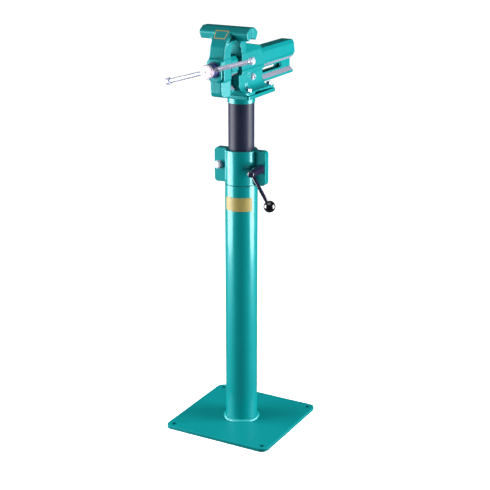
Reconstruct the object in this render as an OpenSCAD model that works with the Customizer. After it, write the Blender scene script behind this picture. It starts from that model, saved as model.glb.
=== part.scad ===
// Height-adjustable vise stand: floor plate, column, lifting and turning mast, and bench vise.
// Origin at the centre of the base plate's underside, +Z up, vise opening towards -Y.

/* [Base plate] */
// Side length of the square base plate
base_w = 320; // [280:5:400]
// Thickness of the base plate
base_t = 10; // [8:1:14]
// Corner radius of the base plate
base_corner_r = 20; // [8:1:40]
// Diameter of the four floor holes
floor_hole_d = 13; // [9:0.5:18]
// Distance from the plate's edge to the floor holes' centres
floor_hole_inset = 20; // [15:1:30]

/* [Column] */
// Outer diameter of the column tube
column_d = 88.9; // [86:0.1:100]
// Wall thickness of the column tube
column_wall = 4; // [3:0.1:5]
// Length of the column tube
column_h = 691; // [675:1:780]
// Leg of the fillet weld at the column's foot
weld_leg = 7; // [4:0.5:10]
// Height of the name plate
name_plate_h = 38; // [25:1:60]
// Width of the name plate, as an angle round the column
name_plate_angle = 104; // [40:1:120]

/* [Clamp collar] */
// Height of the clamp collar
collar_h = 94; // [70:1:120]
// Turn of the collar about the column, seen from above
collar_turn = 4; // [0:1:15]
// Distance from the column's axis to the ears' outer edge
ear_reach = 75; // [73:0.5:90]
// Thickness of one ear
ear_t = 10; // [7:0.5:13]
// Corner radius of the ears
ear_corner_r = 9; // [3:0.5:14]
// Gap between the two collar halves
split_gap = 2; // [1:0.5:4]
// Thread diameter of the collar bolt and clamp stud
clamp_bolt_d = 12; // [10:1:12]
// Distance from the column's axis to the collar bolt and the stud
clamp_reach = 61; // [60:0.5:62]

/* [Clamp lever] */
// Length of the lever's hub
hub_l = 64; // [57:1:75]
// Diameter of the hub at the ear
hub_d = 26; // [22:0.5:30]
// Diameter of the hub at its tip
hub_tip_d = 18; // [17:0.5:22]
// Angle of the arm below the horizontal
arm_drop = 58; // [20:1:80]
// Distance from the hub's axis to the ball's centre
arm_l = 98; // [80:1:130]
// Diameter of the arm
arm_d = 10; // [8:0.5:12]
// Diameter of the ball knob
ball_d = 32; // [26:1:38]

/* [Mast and lift] */
// Outer diameter of the mast tube
mast_d = 70; // [66:0.5:72]
// Wall thickness of the mast tube
mast_wall = 5; // [3:0.5:6]
// Length of the mast tube
mast_l = 480; // [470:1:500]
// Length of mast that shows above the collar at rest
mast_show = 128; // [126:1:150]
// Travel of the mast below its rest position
lift_down = 125; // [80:1:125]
// Height of the ring under the top plate
cap_ring_h = 17; // [10:1:25]
// Wall thickness of the ring under the top plate
cap_ring_wall = 2; // [1.5:0.5:5]

/* [Top plate] */
// Width of the top plate
plate_w = 104; // [102:1:120]
// Reach of the top plate in front of the axis
plate_front = 53; // [50:1:62]
// Reach of the top plate behind the axis
plate_rear = 98; // [96:1:120]
// Thickness of the top plate
plate_t = 10; // [8:1:14]
// Corner radius of the top plate
plate_corner_r = 6; // [3:0.5:12]

/* [Vise] */
// Width of the jaws
jaw_w = 140; // [120:1:160]
// Height of the vise from its foot to the top of the jaws
vise_h = 182; // [180:1:195]
// Travel of the front jaw
jaw_travel = 200; // [120:1:200]
// Depth of one jaw head, from its face to its back
head_t = 30; // [28:0.5:33]
// Height of the jaw heads
head_h = 33; // [32:0.5:36]
// Diameter of the spindle's thread
spindle_d = 22; // [18:0.5:24]
// Diameter of the spindle's head
spindle_head_d = 37; // [33:0.5:39]
// Diameter of the sliding handle bar
handle_d = 12; // [9:0.5:14]
// Length of the handle bar over its end caps
handle_l = 266; // [220:1:300]
// Tilt of the handle bar out of the horizontal
handle_tilt = 16.4; // [0:0.1:45]
// Thread diameter of the four bolts that hold the vise
vise_bolt_d = 10; // [8:1:10]
// Thread diameter of the cross bolt
cross_bolt_d = 10; // [8:1:11]

/* [Hidden] */
$fn = 64;

// Colours, as the photograph shows them
paint = [0.16, 0.66, 0.68];
dark_tube = [0.23, 0.25, 0.31];
zinc = [0.75, 0.76, 0.78];
chrome = [0.85, 0.85, 0.9];
black = [0.07, 0.07, 0.09];
brass = [0.76, 0.66, 0.33];
steel = [0.55, 0.56, 0.58];
polymer = [0.88, 0.87, 0.8];
dark_blue = [0.06, 0.1, 0.28];

// Clearances: shafts in holes, flat sliding guides, and how far a cut runs past a face
run_gap = 0.05;
slide_gap = 0.3;
over = 1;
far = 400;

// Proportions of hexagon fasteners, as shares of the thread diameter
hex_af_share = 1.55;
head_h_share = 0.65;
nut_h_share = 0.8;
washer_d_share = 2;
washer_t_share = 0.2;
hole_share = 1.08;
end_share = 0.25;
hex_sides = 6;

// Edge breaks of plates, tubes and turned pieces
edge_break = 1;

// Column
column_r = column_d / 2;
column_bore_r = column_r - column_wall;
seam_z = base_t + column_h;
weld_bulge_share = 0.58;
name_plate_t = 0.8;
name_plate_glue = 0.2;
name_plate_drop = 32;
name_plate_turn = 17;
bush_h = 30;

// Clamp collar
collar_top = seam_z + collar_h;
mast_r = mast_d / 2;
mast_bore_r = mast_r - mast_wall;
ear_face = split_gap / 2 + ear_t;
clamp_washer_t = clamp_bolt_d * washer_t_share;

// Lever
hub_seat = ear_face + clamp_washer_t;
stud_in_hub = 40;
stud_hole_l = 42;
arm_back = 10;
arm_root = 4;
hub_tip_round = 3;
hub_land = 6;
ball_flat = 2;
ball_hole = 8;

// Mast, at rest
cap_ring_z = collar_top + mast_show;
plate_z = cap_ring_z + cap_ring_h;
foot_z = plate_z + plate_t;
mast_z = plate_z - mast_l;
guide_ring_h = 30;

// Gas spring
spring_foot_r = 30;
spring_foot_h = 22;
spring_foot_rim = 8;
spring_foot_cone = 4;
spring_foot_hub_r = 19;
spring_stud_r = 5;
spring_stud_l = 16;
spring_r = 14;
spring_bore_r = 11.5;
spring_end_t = 8;
spring_gland_h = 9;
spring_rod_r = 7;
piston_neck_r = 5;
piston_h = 8;
piston_gap = 4;
rod_head_h = 8;
rod_head_r = 20;
rod_seat_up = 35;
rod_clear = 8;
foot_top_z = base_t + spring_foot_h;
rod_seat_z = mast_z + rod_seat_up;
spring_top_z = rod_seat_z - lift_down - rod_clear;
piston_z = foot_top_z + spring_end_t + piston_gap + lift_down;

// Thrust bearing
washer_r = 24;
washer_h = 5;
washer_bore_r = 10.5;
ball_r = 3.5;
groove_r = 3.65;
groove_depth = 1.2;
ball_circle_r = 17.5;
ball_count = 12;
cage_h = 1.6;
cage_wall = 1.4;
plug_h = 16;
plug_seat = 2;
plug_bore_r = 6;
bearing_z = rod_seat_z + rod_head_h;
ball_z = bearing_z + washer_h - groove_depth + ball_r;
upper_washer_z = ball_z + ball_r + run_gap - groove_depth;
plug_z = upper_washer_z + washer_h - plug_seat;

// Heights in the vise, above its foot
spindle_up = 80;
bar_up = 14.6;
cross_up = 43;
spindle_z = foot_z + spindle_up;
head_top = foot_z + vise_h;
head_low = head_top - head_h;
bar_low = foot_z + bar_up;
cross_z = foot_z + cross_up;

// Slide bar, section sizes: half widths, and heights below and above the spindle
bar_foot_hw = 22;
bar_foot_h = 6.4;
bar_slope_h = 11;
bar_web_hw = 12;
bar_web_down = 27;
bar_rail_hw = 23.5;
bar_rail_down = 17;
bar_block_down = 12;
bar_block_hw = 25;
bar_side_up = 16;
bar_block_up = 26;
bar_web_top = spindle_z - bar_web_down;
bar_rail_low = spindle_z - bar_rail_down;
bar_block_low = spindle_z - bar_block_down;
bar_side_top = spindle_z + bar_side_up;
bar_block_top = spindle_z + bar_block_up;
bar_draft = 2.5;
bar_top_hw = 17;
bar_groove = 1.5;
bar_bore_r = 17;
bar_end_wall = 10;
bar_foot_short = 5;

// Places along the vise, front to rear
meet_y = -68;
jaw_gap = 0.3;
jaw_neck_t = 24;
boss_reach = 78;
jaw_back_y = meet_y - jaw_neck_t;
boss_y = meet_y - boss_reach;
body_front_y = -73;
body_rear_y = 57;
cross_y = 2;
slot_end = 1;
window_h = 14;
window_front_room = 8;
bar_tail_l = 56;
window_rear = cross_y + jaw_travel + cross_bolt_d / 2 + slot_end;
window_front = cross_y - window_front_room;
bar_rear_y = window_rear + bar_tail_l;
nut_r = 16.7;
nut_l = 60;
nut_lead = 30;
tongue_hw = 4.7;
tongue_l = 24;
tongue_drop = 11;
cross_head_r = 9.5;
cross_head_h = 6;
cross_head_land = 2;
cross_head_top_r = 6;
cross_socket_r = 4.6;
cross_socket_depth = 4;

// Fixed body
body_hw = 33;
body_band_hw = 35.5;
body_groove_hw = 31.5;
body_groove_h = 2;
body_block_h = 57;
body_band_h = 11.5;
body_band_z = foot_z + body_block_h;
body_band_top = body_band_z + body_band_h;
body_band_front = -58;
body_band_rear = 66;
body_band_r = 4;
side_fillet_r = 22;
nose_r = 27;
flange_hw = 51;
flange_t = 10;
flange_front = -72;
flange_rear = 97;
flange_r = 22;
rear_corner_y = 30;
rear_corner_r = 12;
relief_front = -20;
relief_rear = 92;
relief_h = 6.5;
relief_rear_h = 2;
vise_bolt_x = 41;
vise_bolt_front = -36;
vise_bolt_rear = 81;
pad_r = 8;
bush_r_share = 0.8;
bolt_short = 1;
spot_gap = 0.8;
rear_throat_up = 103;
shoulder_bevel_up = 110;
shoulder_ridge_up = 134;
shoulder_rear_up = 116;
chine_up = 85;
rear_throat_z = foot_z + rear_throat_up;
shoulder_bevel_z = foot_z + shoulder_bevel_up;
shoulder_bevel_hw = 19;
shoulder_ridge_z = foot_z + shoulder_ridge_up;
shoulder_rear_z = foot_z + shoulder_rear_up;
shoulder_rear_y = 72;
shoulder_front_y = -56;
chine_yaw = 22;
chine_pitch = 22.5;
chine_y = 72;
chine_z = foot_z + chine_up;
chine_cut = 60;
rear_neck_hw = 29;
rear_neck_back = -20;
rear_neck_tip = -10;
rear_neck_low_up = 104;
rear_neck_high_up = 132;
rear_neck_low_z = foot_z + rear_neck_low_up;
rear_neck_high_z = foot_z + rear_neck_high_up;
neck_flare_r = 18;

// Front jaw
boss_hw = 21;
boss_down = 32;
boss_up = 27;
boss_low = spindle_z - boss_down;
boss_top = spindle_z + boss_up;
boss_chamfer = 11;
boss_edge = 2;
boss_top_edge = 7;
boss_rim = 3.5;
waist_hw = 18;
waist_low_up = 6;
waist_h = 27;
cheek_hw = 23.5;
cheek_edge = 3;
cheek_set_back = 13;
cheek_front = boss_y + cheek_set_back;
apron_up = 5;
apron_low = foot_z + apron_up;
apron_hw = 22;
apron_nose_hw = 16;
apron_set_back = 11;
apron_front = boss_y + apron_set_back;
apron_r = 20;
apron_rear_r = 3;
neck_hw = 21.5;
neck_mid_reach = 62.5;
neck_mid_up = 30;
neck_high_up = 56;
neck_top_reach = 48.5;
neck_top_up = 70;
neck_top_hw = 25;
neck_high_reach = 56;
throat_up = 32;
neck_mid_front = meet_y - neck_mid_reach;
neck_mid_z = spindle_z + neck_mid_up;
neck_high_front = meet_y - neck_high_reach;
neck_high_z = spindle_z + neck_high_up;
neck_top_front = meet_y - neck_top_reach;
neck_top_z = spindle_z + neck_top_up;
throat_z = spindle_z + throat_up;

// Spindle and handle
ring_t = 4;
ring_r = 20;
head_gap = 0.3;
spindle_head_l = 32;
head_rim = 7;
head_groove = 2.5;
head_groove_depth = 2;
head_edge = 1.5;
handle_from_front = 17;
spindle_tail = 235;
spindle_tip = 2;
retainer_h = 8;
retainer_wall = 4.5;
retainer_r = spindle_d / 2 + retainer_wall;
ring_face_y = boss_y - ring_t;
head_back_y = ring_face_y - head_gap;
head_front_y = head_back_y - spindle_head_l;
handle_y = head_front_y + handle_from_front;
handle_cap_l = 12;
handle_cap_wall = 3;
handle_cap_r = handle_d / 2 + handle_cap_wall;
handle_cap_depth = 8;
handle_cap_lip = 3;
handle_cap_groove = 1.2;

// Closes the right half of an outline with its mirror image across x = 0
function both_sides(half) = concat(half, [for (i = [len(half) - 1:-1:0]) [-half[i][0], half[i][1]]]);

// Solid of a (y, z) outline, centred on x = 0
module across(width) {
    rotate([90, 0, 90]) linear_extrude(width, center = true) children();
}

// Solid of an (x, z) outline, from y = front to y = rear
module along(front, rear) {
    translate([0, rear, 0]) rotate([90, 0, 0]) linear_extrude(rear - front) children();
}

// Turned ring or tube with broken outer edges, standing on z = 0
module tube(r, bore, h, edge) {
    rotate_extrude()
        polygon([[bore, 0], [r - edge, 0], [r, edge], [r, h - edge], [r - edge, h], [bore, h]]);
}

// Flat outline with rounded corners, centred
module soft_square(w, h, r) {
    square([w - 2 * r, h], center = true);
    square([w, h - 2 * r], center = true);
    for (x = [-1, 1], y = [-1, 1])
        translate([x * (w / 2 - r), y * (h / 2 - r)]) circle(r);
}

// Flat slot with round ends, centred
module slot(w, h) {
    square([w - h, h], center = true);
    for (x = [-1, 1])
        translate([x * (w - h) / 2, 0]) circle(h / 2);
}

// Profile across a plate of width w and thickness t with broken edges
module plate_profile(w, t, edge) {
    polygon(both_sides([[w / 2 - edge, 0], [w / 2, edge], [w / 2, t - edge], [w / 2 - edge, t]]));
}

// Plate with round corners and broken edges, standing on z = 0
module soft_plate(w, d, t, r, edge) {
    rotate([90, 0, 0]) linear_extrude(d - 2 * r, center = true) plate_profile(w, t, edge);
    rotate([90, 0, 90]) linear_extrude(w - 2 * r, center = true) plate_profile(d, t, edge);
    for (x = [-1, 1], y = [-1, 1])
        translate([x * (w / 2 - r), y * (d / 2 - r), 0])
            rotate_extrude()
                polygon([[0, 0], [r - edge, 0], [r, edge], [r, t - edge], [r - edge, t], [0, t]]);
}

// Hexagon head or nut with its top edge turned off, standing on z = 0
module hexagon(d, h) {
    corner_r = d * hex_af_share / sqrt(3);
    flat_r = d * hex_af_share / 2;
    intersection() {
        cylinder(h = h, r = corner_r, $fn = hex_sides);
        rotate_extrude()
            polygon([[0, 0], [corner_r, 0], [corner_r, h - corner_r + flat_r], [flat_r, h], [0, h]]);
    }
}

// Flat washer for thread diameter d, standing on z = 0
module washer(d) {
    difference() {
        cylinder(h = d * washer_t_share, r = d * washer_d_share / 2);
        translate([0, 0, -over]) cylinder(h = d * washer_t_share + 2 * over, r = d / 2);
    }
}

// Hexagon nut for thread diameter d, standing on z = 0
module nut(d) {
    difference() {
        hexagon(d, d * nut_h_share);
        translate([0, 0, -over]) cylinder(h = d * nut_h_share + 2 * over, r = d / 2);
    }
}

// Shank for thread diameter d with a chamfered end, from z = 0 down
module shank(d, l) {
    tip = d * end_share / 2;
    rotate_extrude() polygon([[0, 0], [d / 2, 0], [d / 2, tip - l], [d / 2 - tip, -l], [0, -l]]);
}

// Hexagon bolt with its head's underside on z = 0 and its shank of length l below
module bolt(d, l) {
    hexagon(d, d * head_h_share);
    shank(d, l);
}

module base_plate() {
    hole_at = base_w / 2 - floor_hole_inset;
    color(paint) difference() {
        soft_plate(base_w, base_w, base_t, base_corner_r, edge_break);
        for (x = [-1, 1], y = [-1, 1])
            translate([x * hole_at, y * hole_at, -over])
                cylinder(h = base_t + 2 * over, r = floor_hole_d / 2);
    }
}

module foot_weld() {
    bulge = weld_leg * weld_bulge_share;
    color(paint) translate([0, 0, base_t]) rotate_extrude()
        polygon([
            [column_r, 0], [column_r + weld_leg, 0],
            [column_r + bulge, bulge], [column_r, weld_leg]
        ]);
}

module column_tube() {
    color(paint) translate([0, 0, base_t]) tube(column_r, column_bore_r, column_h, edge_break);
}

module name_plate() {
    color(brass) translate([0, 0, seam_z - name_plate_drop - name_plate_h])
        rotate(name_plate_turn - name_plate_angle / 2 - 90) rotate_extrude(angle = name_plate_angle)
            translate([column_r + name_plate_glue, 0]) square([name_plate_t, name_plate_h]);
}

module guide_bush() {
    color(polymer) translate([0, 0, seam_z - bush_h])
        tube(column_bore_r, mast_r + run_gap, bush_h, edge_break);
}

// Moves children to the collar's middle height, turned with the collar
module at_collar() {
    translate([0, 0, seam_z + collar_h / 2]) rotate(collar_turn) children();
}

// Moves children to the bolt axis on one side of the collar, with z pointing towards the rear
module at_clamp(side, y) {
    at_collar() translate([side * clamp_reach, y, 0]) rotate([-90, 0, 0]) children();
}

// One half of the collar with its two ears, on the +y side of the split
module collar_half() {
    difference() {
        union() {
            translate([0, 0, -collar_h / 2]) tube(column_r, mast_r + run_gap, collar_h, edge_break);
            rotate([90, 0, 0]) linear_extrude(2 * ear_face, center = true)
                soft_square(2 * ear_reach, collar_h, ear_corner_r);
        }
        translate([0, 0, -collar_h]) cylinder(h = 2 * collar_h, r = mast_r + run_gap);
        translate([-far / 2, split_gap / 2 - far, -far / 2]) cube(far);
        for (side = [-1, 1])
            translate([side * clamp_reach, 0, 0]) rotate([-90, 0, 0])
                cylinder(h = ear_face + over, r = clamp_bolt_d * hole_share / 2);
    }
}

module collar_rear_half() {
    color(paint) at_collar() collar_half();
}

module collar_front_half() {
    color(paint) at_collar() mirror([0, 1, 0]) collar_half();
}

module collar_bolt() {
    reach = 2 * hub_seat + clamp_bolt_d * (nut_h_share + end_share);
    color(zinc) at_clamp(-1, -hub_seat) rotate([180, 0, 0]) bolt(clamp_bolt_d, reach);
}

module collar_bolt_nut() {
    color(zinc) at_clamp(-1, hub_seat) nut(clamp_bolt_d);
}

module collar_washers() {
    color(zinc) for (side = [-1, 1]) {
        at_clamp(side, ear_face) washer(clamp_bolt_d);
        at_clamp(side, -hub_seat) washer(clamp_bolt_d);
    }
}

module clamp_stud() {
    color(zinc) at_clamp(1, hub_seat) bolt(clamp_bolt_d, 2 * hub_seat + stud_in_hub);
}

// Moves children to the lever's hub, with z pointing out of the ear towards the front
module at_hub() {
    at_collar() translate([clamp_reach, -hub_seat, 0]) rotate([90, 0, 0]) children();
}

// Moves children to the arm's axis, with z pointing from the hub to the ball
module at_arm(out) {
    translate([0, 0, hub_l - arm_back]) rotate([0, 90, -arm_drop]) translate([0, 0, out]) children();
}

module lever_hub() {
    color(black) at_hub() difference() {
        rotate_extrude() polygon([
            [0, 0], [hub_d / 2 - edge_break, 0], [hub_d / 2, edge_break], [hub_d / 2, hub_land],
            [hub_tip_d / 2, hub_l - hub_tip_round],
            [hub_tip_d / 2 - hub_tip_round, hub_l], [0, hub_l]
        ]);
        translate([0, 0, -over]) cylinder(h = stud_hole_l + over, r = clamp_bolt_d / 2 + run_gap);
        at_arm(arm_root) cylinder(h = hub_d, r = arm_d / 2);
    }
}

module lever_arm() {
    color(black) at_hub() at_arm(arm_root)
        cylinder(h = arm_l - ball_d / 2 + ball_hole - arm_root, r = arm_d / 2);
}

module ball_knob() {
    color(black) at_hub() at_arm(arm_l) difference() {
        sphere(ball_d / 2);
        translate([0, 0, -ball_d]) cylinder(h = ball_d / 2 + ball_flat, r = ball_d);
        translate([0, 0, -ball_d]) cylinder(h = ball_d / 2 + ball_hole, r = arm_d / 2);
    }
}

module spring_foot() {
    color(steel) translate([0, 0, base_t]) rotate_extrude() polygon([
        [spring_stud_r, 0], [spring_foot_r - edge_break, 0], [spring_foot_r, edge_break],
        [spring_foot_r, spring_foot_rim], [spring_foot_hub_r, spring_foot_rim + spring_foot_cone],
        [spring_foot_hub_r, spring_foot_h], [spring_stud_r, spring_foot_h]
    ]);
}

module spring_cylinder() {
    h = spring_top_z - foot_top_z;
    color(dark_tube) translate([0, 0, foot_top_z]) rotate_extrude() polygon([
        [0, -spring_stud_l], [spring_stud_r, -spring_stud_l], [spring_stud_r, 0],
        [spring_r - edge_break, 0], [spring_r, edge_break], [spring_r, h], [spring_bore_r, h],
        [spring_bore_r, spring_end_t], [0, spring_end_t]
    ]);
}

module spring_gland() {
    color(steel) translate([0, 0, spring_top_z - spring_gland_h])
        tube(spring_bore_r, spring_rod_r + run_gap, spring_gland_h, edge_break / 2);
}

module spring_rod() {
    spigot_z = bearing_z + washer_h;
    color(chrome) rotate_extrude() polygon([
        [0, piston_z], [piston_neck_r, piston_z], [piston_neck_r, piston_z + piston_h],
        [spring_rod_r, piston_z + piston_h], [spring_rod_r, rod_seat_z],
        [rod_head_r, rod_seat_z], [rod_head_r, bearing_z], [washer_bore_r, bearing_z],
        [washer_bore_r, spigot_z - edge_break], [washer_bore_r - edge_break, spigot_z], [0, spigot_z]
    ]);
}

module spring_piston() {
    color(steel) translate([0, 0, piston_z])
        tube(spring_bore_r - run_gap, piston_neck_r, piston_h, edge_break / 2);
}

// Bearing washer with its ball groove on top, standing on z = 0
module bearing_washer() {
    rotate_extrude() difference() {
        translate([washer_bore_r, 0]) square([washer_r - washer_bore_r, washer_h]);
        translate([ball_circle_r, washer_h - groove_depth + groove_r]) circle(groove_r);
    }
}

// Places children at each ball of the bearing
module at_balls() {
    for (i = [0:ball_count - 1])
        rotate(i * 360 / ball_count) translate([ball_circle_r, 0, 0]) children();
}

module bearing_lower_washer() {
    color(steel) translate([0, 0, bearing_z]) bearing_washer();
}

module bearing_balls() {
    color(chrome) translate([0, 0, ball_z]) at_balls() sphere(ball_r);
}

module bearing_cage() {
    cut_h = cage_h + 2 * over;
    color(brass) translate([0, 0, ball_z - cage_h / 2]) difference() {
        cylinder(h = cage_h, r = ball_circle_r + ball_r + cage_wall);
        translate([0, 0, -over]) cylinder(h = cut_h, r = ball_circle_r - ball_r - cage_wall);
        translate([0, 0, -over]) at_balls() cylinder(h = cut_h, r = ball_r);
    }
}

module bearing_upper_washer() {
    color(steel) translate([0, 0, upper_washer_z + washer_h]) mirror([0, 0, 1]) bearing_washer();
}

module mast_tube() {
    color(dark_tube) translate([0, 0, mast_z]) tube(mast_r, mast_bore_r, mast_l, edge_break);
}

module mast_plug() {
    color(steel) translate([0, 0, plug_z]) rotate_extrude() polygon([
        [washer_r, 0], [mast_bore_r, 0], [mast_bore_r, plug_h], [plug_bore_r, plug_h],
        [plug_bore_r, plug_seat], [washer_r, plug_seat]
    ]);
}

module mast_guide_ring() {
    color(polymer) translate([0, 0, mast_z])
        tube(column_bore_r - run_gap, mast_r, guide_ring_h, edge_break);
}

module cap_ring() {
    color(paint) translate([0, 0, cap_ring_z])
        tube(mast_r + cap_ring_wall, mast_r, cap_ring_h, edge_break / 2);
}

// Moves children to each of the four vise bolts, at height z
module at_vise_bolts(z) {
    for (x = [-1, 1], y = [vise_bolt_front, vise_bolt_rear])
        translate([x * vise_bolt_x, y, z]) children();
}

module top_plate() {
    color(paint) difference() {
        translate([0, (plate_rear - plate_front) / 2, plate_z])
            soft_plate(plate_w, plate_front + plate_rear, plate_t, plate_corner_r, edge_break);
        at_vise_bolts(plate_z - over)
            cylinder(h = plate_t + 2 * over, r = vise_bolt_d * bush_r_share);
    }
}

// Section of the slide bar as (x, z) points, grown by a gap, with a groove under its block
module bar_section(gap, groove) {
    foot_top = bar_low + bar_foot_h;
    polygon(both_sides([
        [bar_foot_hw + gap, bar_low - gap], [bar_foot_hw + gap, foot_top + gap],
        [bar_web_hw + gap, foot_top + bar_slope_h + gap], [bar_web_hw + gap, bar_web_top - gap],
        [bar_rail_hw + gap, bar_rail_low - gap], [bar_rail_hw + gap, bar_block_low - gap],
        [bar_rail_hw - groove + gap, bar_block_low + groove / 2 - gap],
        [bar_block_hw + gap, bar_block_low + bar_groove - gap],
        [bar_block_hw - bar_draft + gap, bar_side_top], [bar_top_hw + gap, bar_block_top + gap]
    ]));
}

module slide_bar() {
    window_mid = (window_front + window_rear) / 2;
    slot_front = cross_y - tongue_l / 2 - slot_end;
    slot_rear = cross_y + jaw_travel + tongue_l / 2 + slot_end;
    slot_low = cross_z - tongue_drop - slot_end;
    color(paint) difference() {
        union() {
            along(jaw_back_y, bar_rear_y - bar_foot_short) bar_section(0, bar_groove);
            intersection() {
                along(jaw_back_y, bar_rear_y) bar_section(0, bar_groove);
                translate([-far / 2, jaw_back_y, bar_block_low]) cube(far);
            }
        }
        translate([0, jaw_back_y - over, spindle_z]) rotate([-90, 0, 0])
            cylinder(h = bar_rear_y - bar_end_wall - jaw_back_y + over, r = bar_bore_r);
        translate([0, window_mid, cross_z])
            across(2 * bar_foot_hw) slot(window_rear - window_front, window_h);
        translate([-tongue_hw - slide_gap, slot_front, slot_low])
            cube([2 * (tongue_hw + slide_gap), slot_rear - slot_front, spindle_z - slot_low]);
    }
}

// One jaw head as (y, z) points, behind its face at y = 0
module head_outline() {
    polygon([
        [jaw_gap / 2, head_low + head_h * 0.22], [jaw_gap / 2, head_top - edge_break],
        [jaw_gap / 2 + edge_break, head_top], [head_t * 0.34, head_top],
        [head_t * 0.44, head_top - head_h * 0.03], [head_t * 0.96, head_low + head_h * 0.66],
        [head_t, head_low + head_h * 0.56], [head_t * 0.97, head_low + head_h * 0.46],
        [head_t * 0.73, head_low + head_h * 0.03], [head_t * 0.67, head_low],
        [head_t * 0.57, head_low]
    ]);
}

// Section of a neck as (x, z) outline that flares out towards the head
module neck_section(hw, low, high) {
    flare_z = head_low - neck_flare_r + edge_break;
    difference() {
        translate([-hw - neck_flare_r, low]) square([2 * (hw + neck_flare_r), high - low]);
        for (x = [-1, 1])
            translate([x * (hw + neck_flare_r), flare_z]) {
                circle(neck_flare_r);
                translate([0, -far / 2]) square([2 * neck_flare_r, far], center = true);
            }
    }
}

// Plan outline of the fixed body: block and flange, with a large round at the front corners
module body_plan() {
    translate([0, (body_front_y + body_rear_y) / 2])
        square([2 * body_hw - flange_r, body_rear_y - body_front_y], center = true);
    translate([0, (flange_front + flange_rear) / 2])
        soft_square(2 * flange_hw, flange_rear - flange_front, flange_r);
    translate([0, (rear_corner_y + flange_rear) / 2])
        soft_square(2 * flange_hw, flange_rear - rear_corner_y, rear_corner_r);
}

// Lower block and flange, blended by concave fillets
module body_lower() {
    reach = flange_hw + over;
    fillet_z = foot_z + flange_t + side_fillet_r;
    block_h = body_block_h;
    nose_y = body_front_y + nose_r;
    intersection() {
        along(body_front_y, flange_rear) difference() {
            translate([-reach, foot_z]) square([2 * reach, block_h]);
            for (x = [0, 1])
                mirror([x, 0]) {
                    translate([body_hw + side_fillet_r, fillet_z]) circle(side_fillet_r);
                    translate([body_hw + side_fillet_r, fillet_z - side_fillet_r]) square(far);
                    translate([body_hw, fillet_z]) square(far);
                }
        }
        across(2 * reach) difference() {
            union() {
                translate([nose_y, foot_z]) square([flange_rear - nose_y, block_h]);
                translate([body_front_y, foot_z + nose_r]) square([2 * nose_r, block_h - nose_r]);
                translate([nose_y, foot_z + nose_r]) circle(nose_r);
            }
            translate([body_rear_y + side_fillet_r, fillet_z]) circle(side_fillet_r);
            translate([body_rear_y + side_fillet_r, fillet_z - side_fillet_r]) square(far);
            translate([body_rear_y, fillet_z]) square(far);
        }
        translate([0, 0, foot_z]) linear_extrude(block_h) body_plan();
    }
}

// Ledge over the block, with a groove above it under the shoulder
module body_band() {
    band_l = body_band_rear - body_band_front;
    inset = body_band_hw - body_groove_hw;
    translate([0, (body_band_front + body_band_rear) / 2, body_band_z]) {
        linear_extrude(body_band_top - body_groove_h - body_band_z)
            soft_square(2 * body_band_hw, band_l, body_band_r);
        linear_extrude(body_band_top - body_band_z)
            soft_square(2 * body_groove_hw, band_l - 2 * inset, body_band_r);
    }
}

// Core that runs through the ledge and its groove into the block and the shoulder
module body_core() {
    inset = body_band_hw - body_groove_hw;
    translate([-body_groove_hw, body_band_front + inset, body_band_z - over])
        cube([2 * body_groove_hw, body_rear_y - body_band_front - 2 * inset, body_band_h + 2 * over]);
}

// Upper shoulder of the fixed body, round the slide bar
module body_shoulder() {
    difference() {
        intersection() {
            along(shoulder_front_y, shoulder_rear_y) polygon(both_sides([
                [body_hw, body_band_top], [body_hw, shoulder_bevel_z],
                [shoulder_bevel_hw, shoulder_ridge_z]
            ]));
            across(2 * body_hw) polygon([
                [shoulder_front_y, body_band_top], [shoulder_rear_y, body_band_top],
                [shoulder_rear_y, shoulder_rear_z], [rear_neck_back, shoulder_ridge_z],
                [shoulder_front_y + slide_gap, shoulder_ridge_z], [shoulder_front_y, rear_throat_z]
            ]);
        }
        for (x = [0, 1])
            mirror([x, 0, 0]) translate([body_hw, chine_y, chine_z])
                rotate([0, -chine_pitch, chine_yaw])
                    translate([0, -chine_cut, -chine_cut]) cube(2 * chine_cut);
    }
}

// Side curve of the throat under one jaw, as (y, z) points between its root and the jaw's face
function throat_arc(root, low, angles) = [
    for (a = angles) [
        root + (meet_y - root) * (1 - cos(a)),
        low + (head_low - low) * sin(a)
    ]
];

// Neck between the shoulder and the fixed jaw's head, flared under the head
module rear_neck() {
    face_y = meet_y + jaw_gap / 2;
    root_y = shoulder_front_y + 3 * edge_break;
    flare_hw = rear_neck_hw + neck_flare_r;
    intersection() {
        along(meet_y, rear_neck_tip) {
            neck_section(rear_neck_hw, body_band_top, head_low + edge_break);
            polygon(both_sides([
                [body_hw, body_band_top], [body_hw, rear_neck_low_z], [rear_neck_hw, rear_neck_high_z]
            ]));
        }
        across(2 * flare_hw) polygon(concat(
            [
                [rear_neck_tip, body_band_top], [rear_neck_tip, shoulder_ridge_z - 2 * edge_break],
                [rear_neck_back, head_low - head_h * 0.28], [meet_y + head_t * 0.9, head_low + edge_break],
                [face_y, head_low + head_h * 0.24]
            ],
            [for (p = throat_arc(root_y, rear_throat_z, [90:-15:0])) if (p[0] > face_y) p],
            [[shoulder_front_y, body_band_top]]
        ));
        translate([0, 0, body_band_top]) linear_extrude(head_top - body_band_top) polygon(both_sides([
            [flare_hw, meet_y], [flare_hw, meet_y + head_t * 0.7],
            [rear_neck_hw + 2 * edge_break, meet_y + head_t], [body_hw, meet_y + head_t],
            [rear_neck_hw - edge_break, rear_neck_back - 4 * edge_break],
            [shoulder_bevel_hw, rear_neck_tip]
        ]));
    }
}

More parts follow.
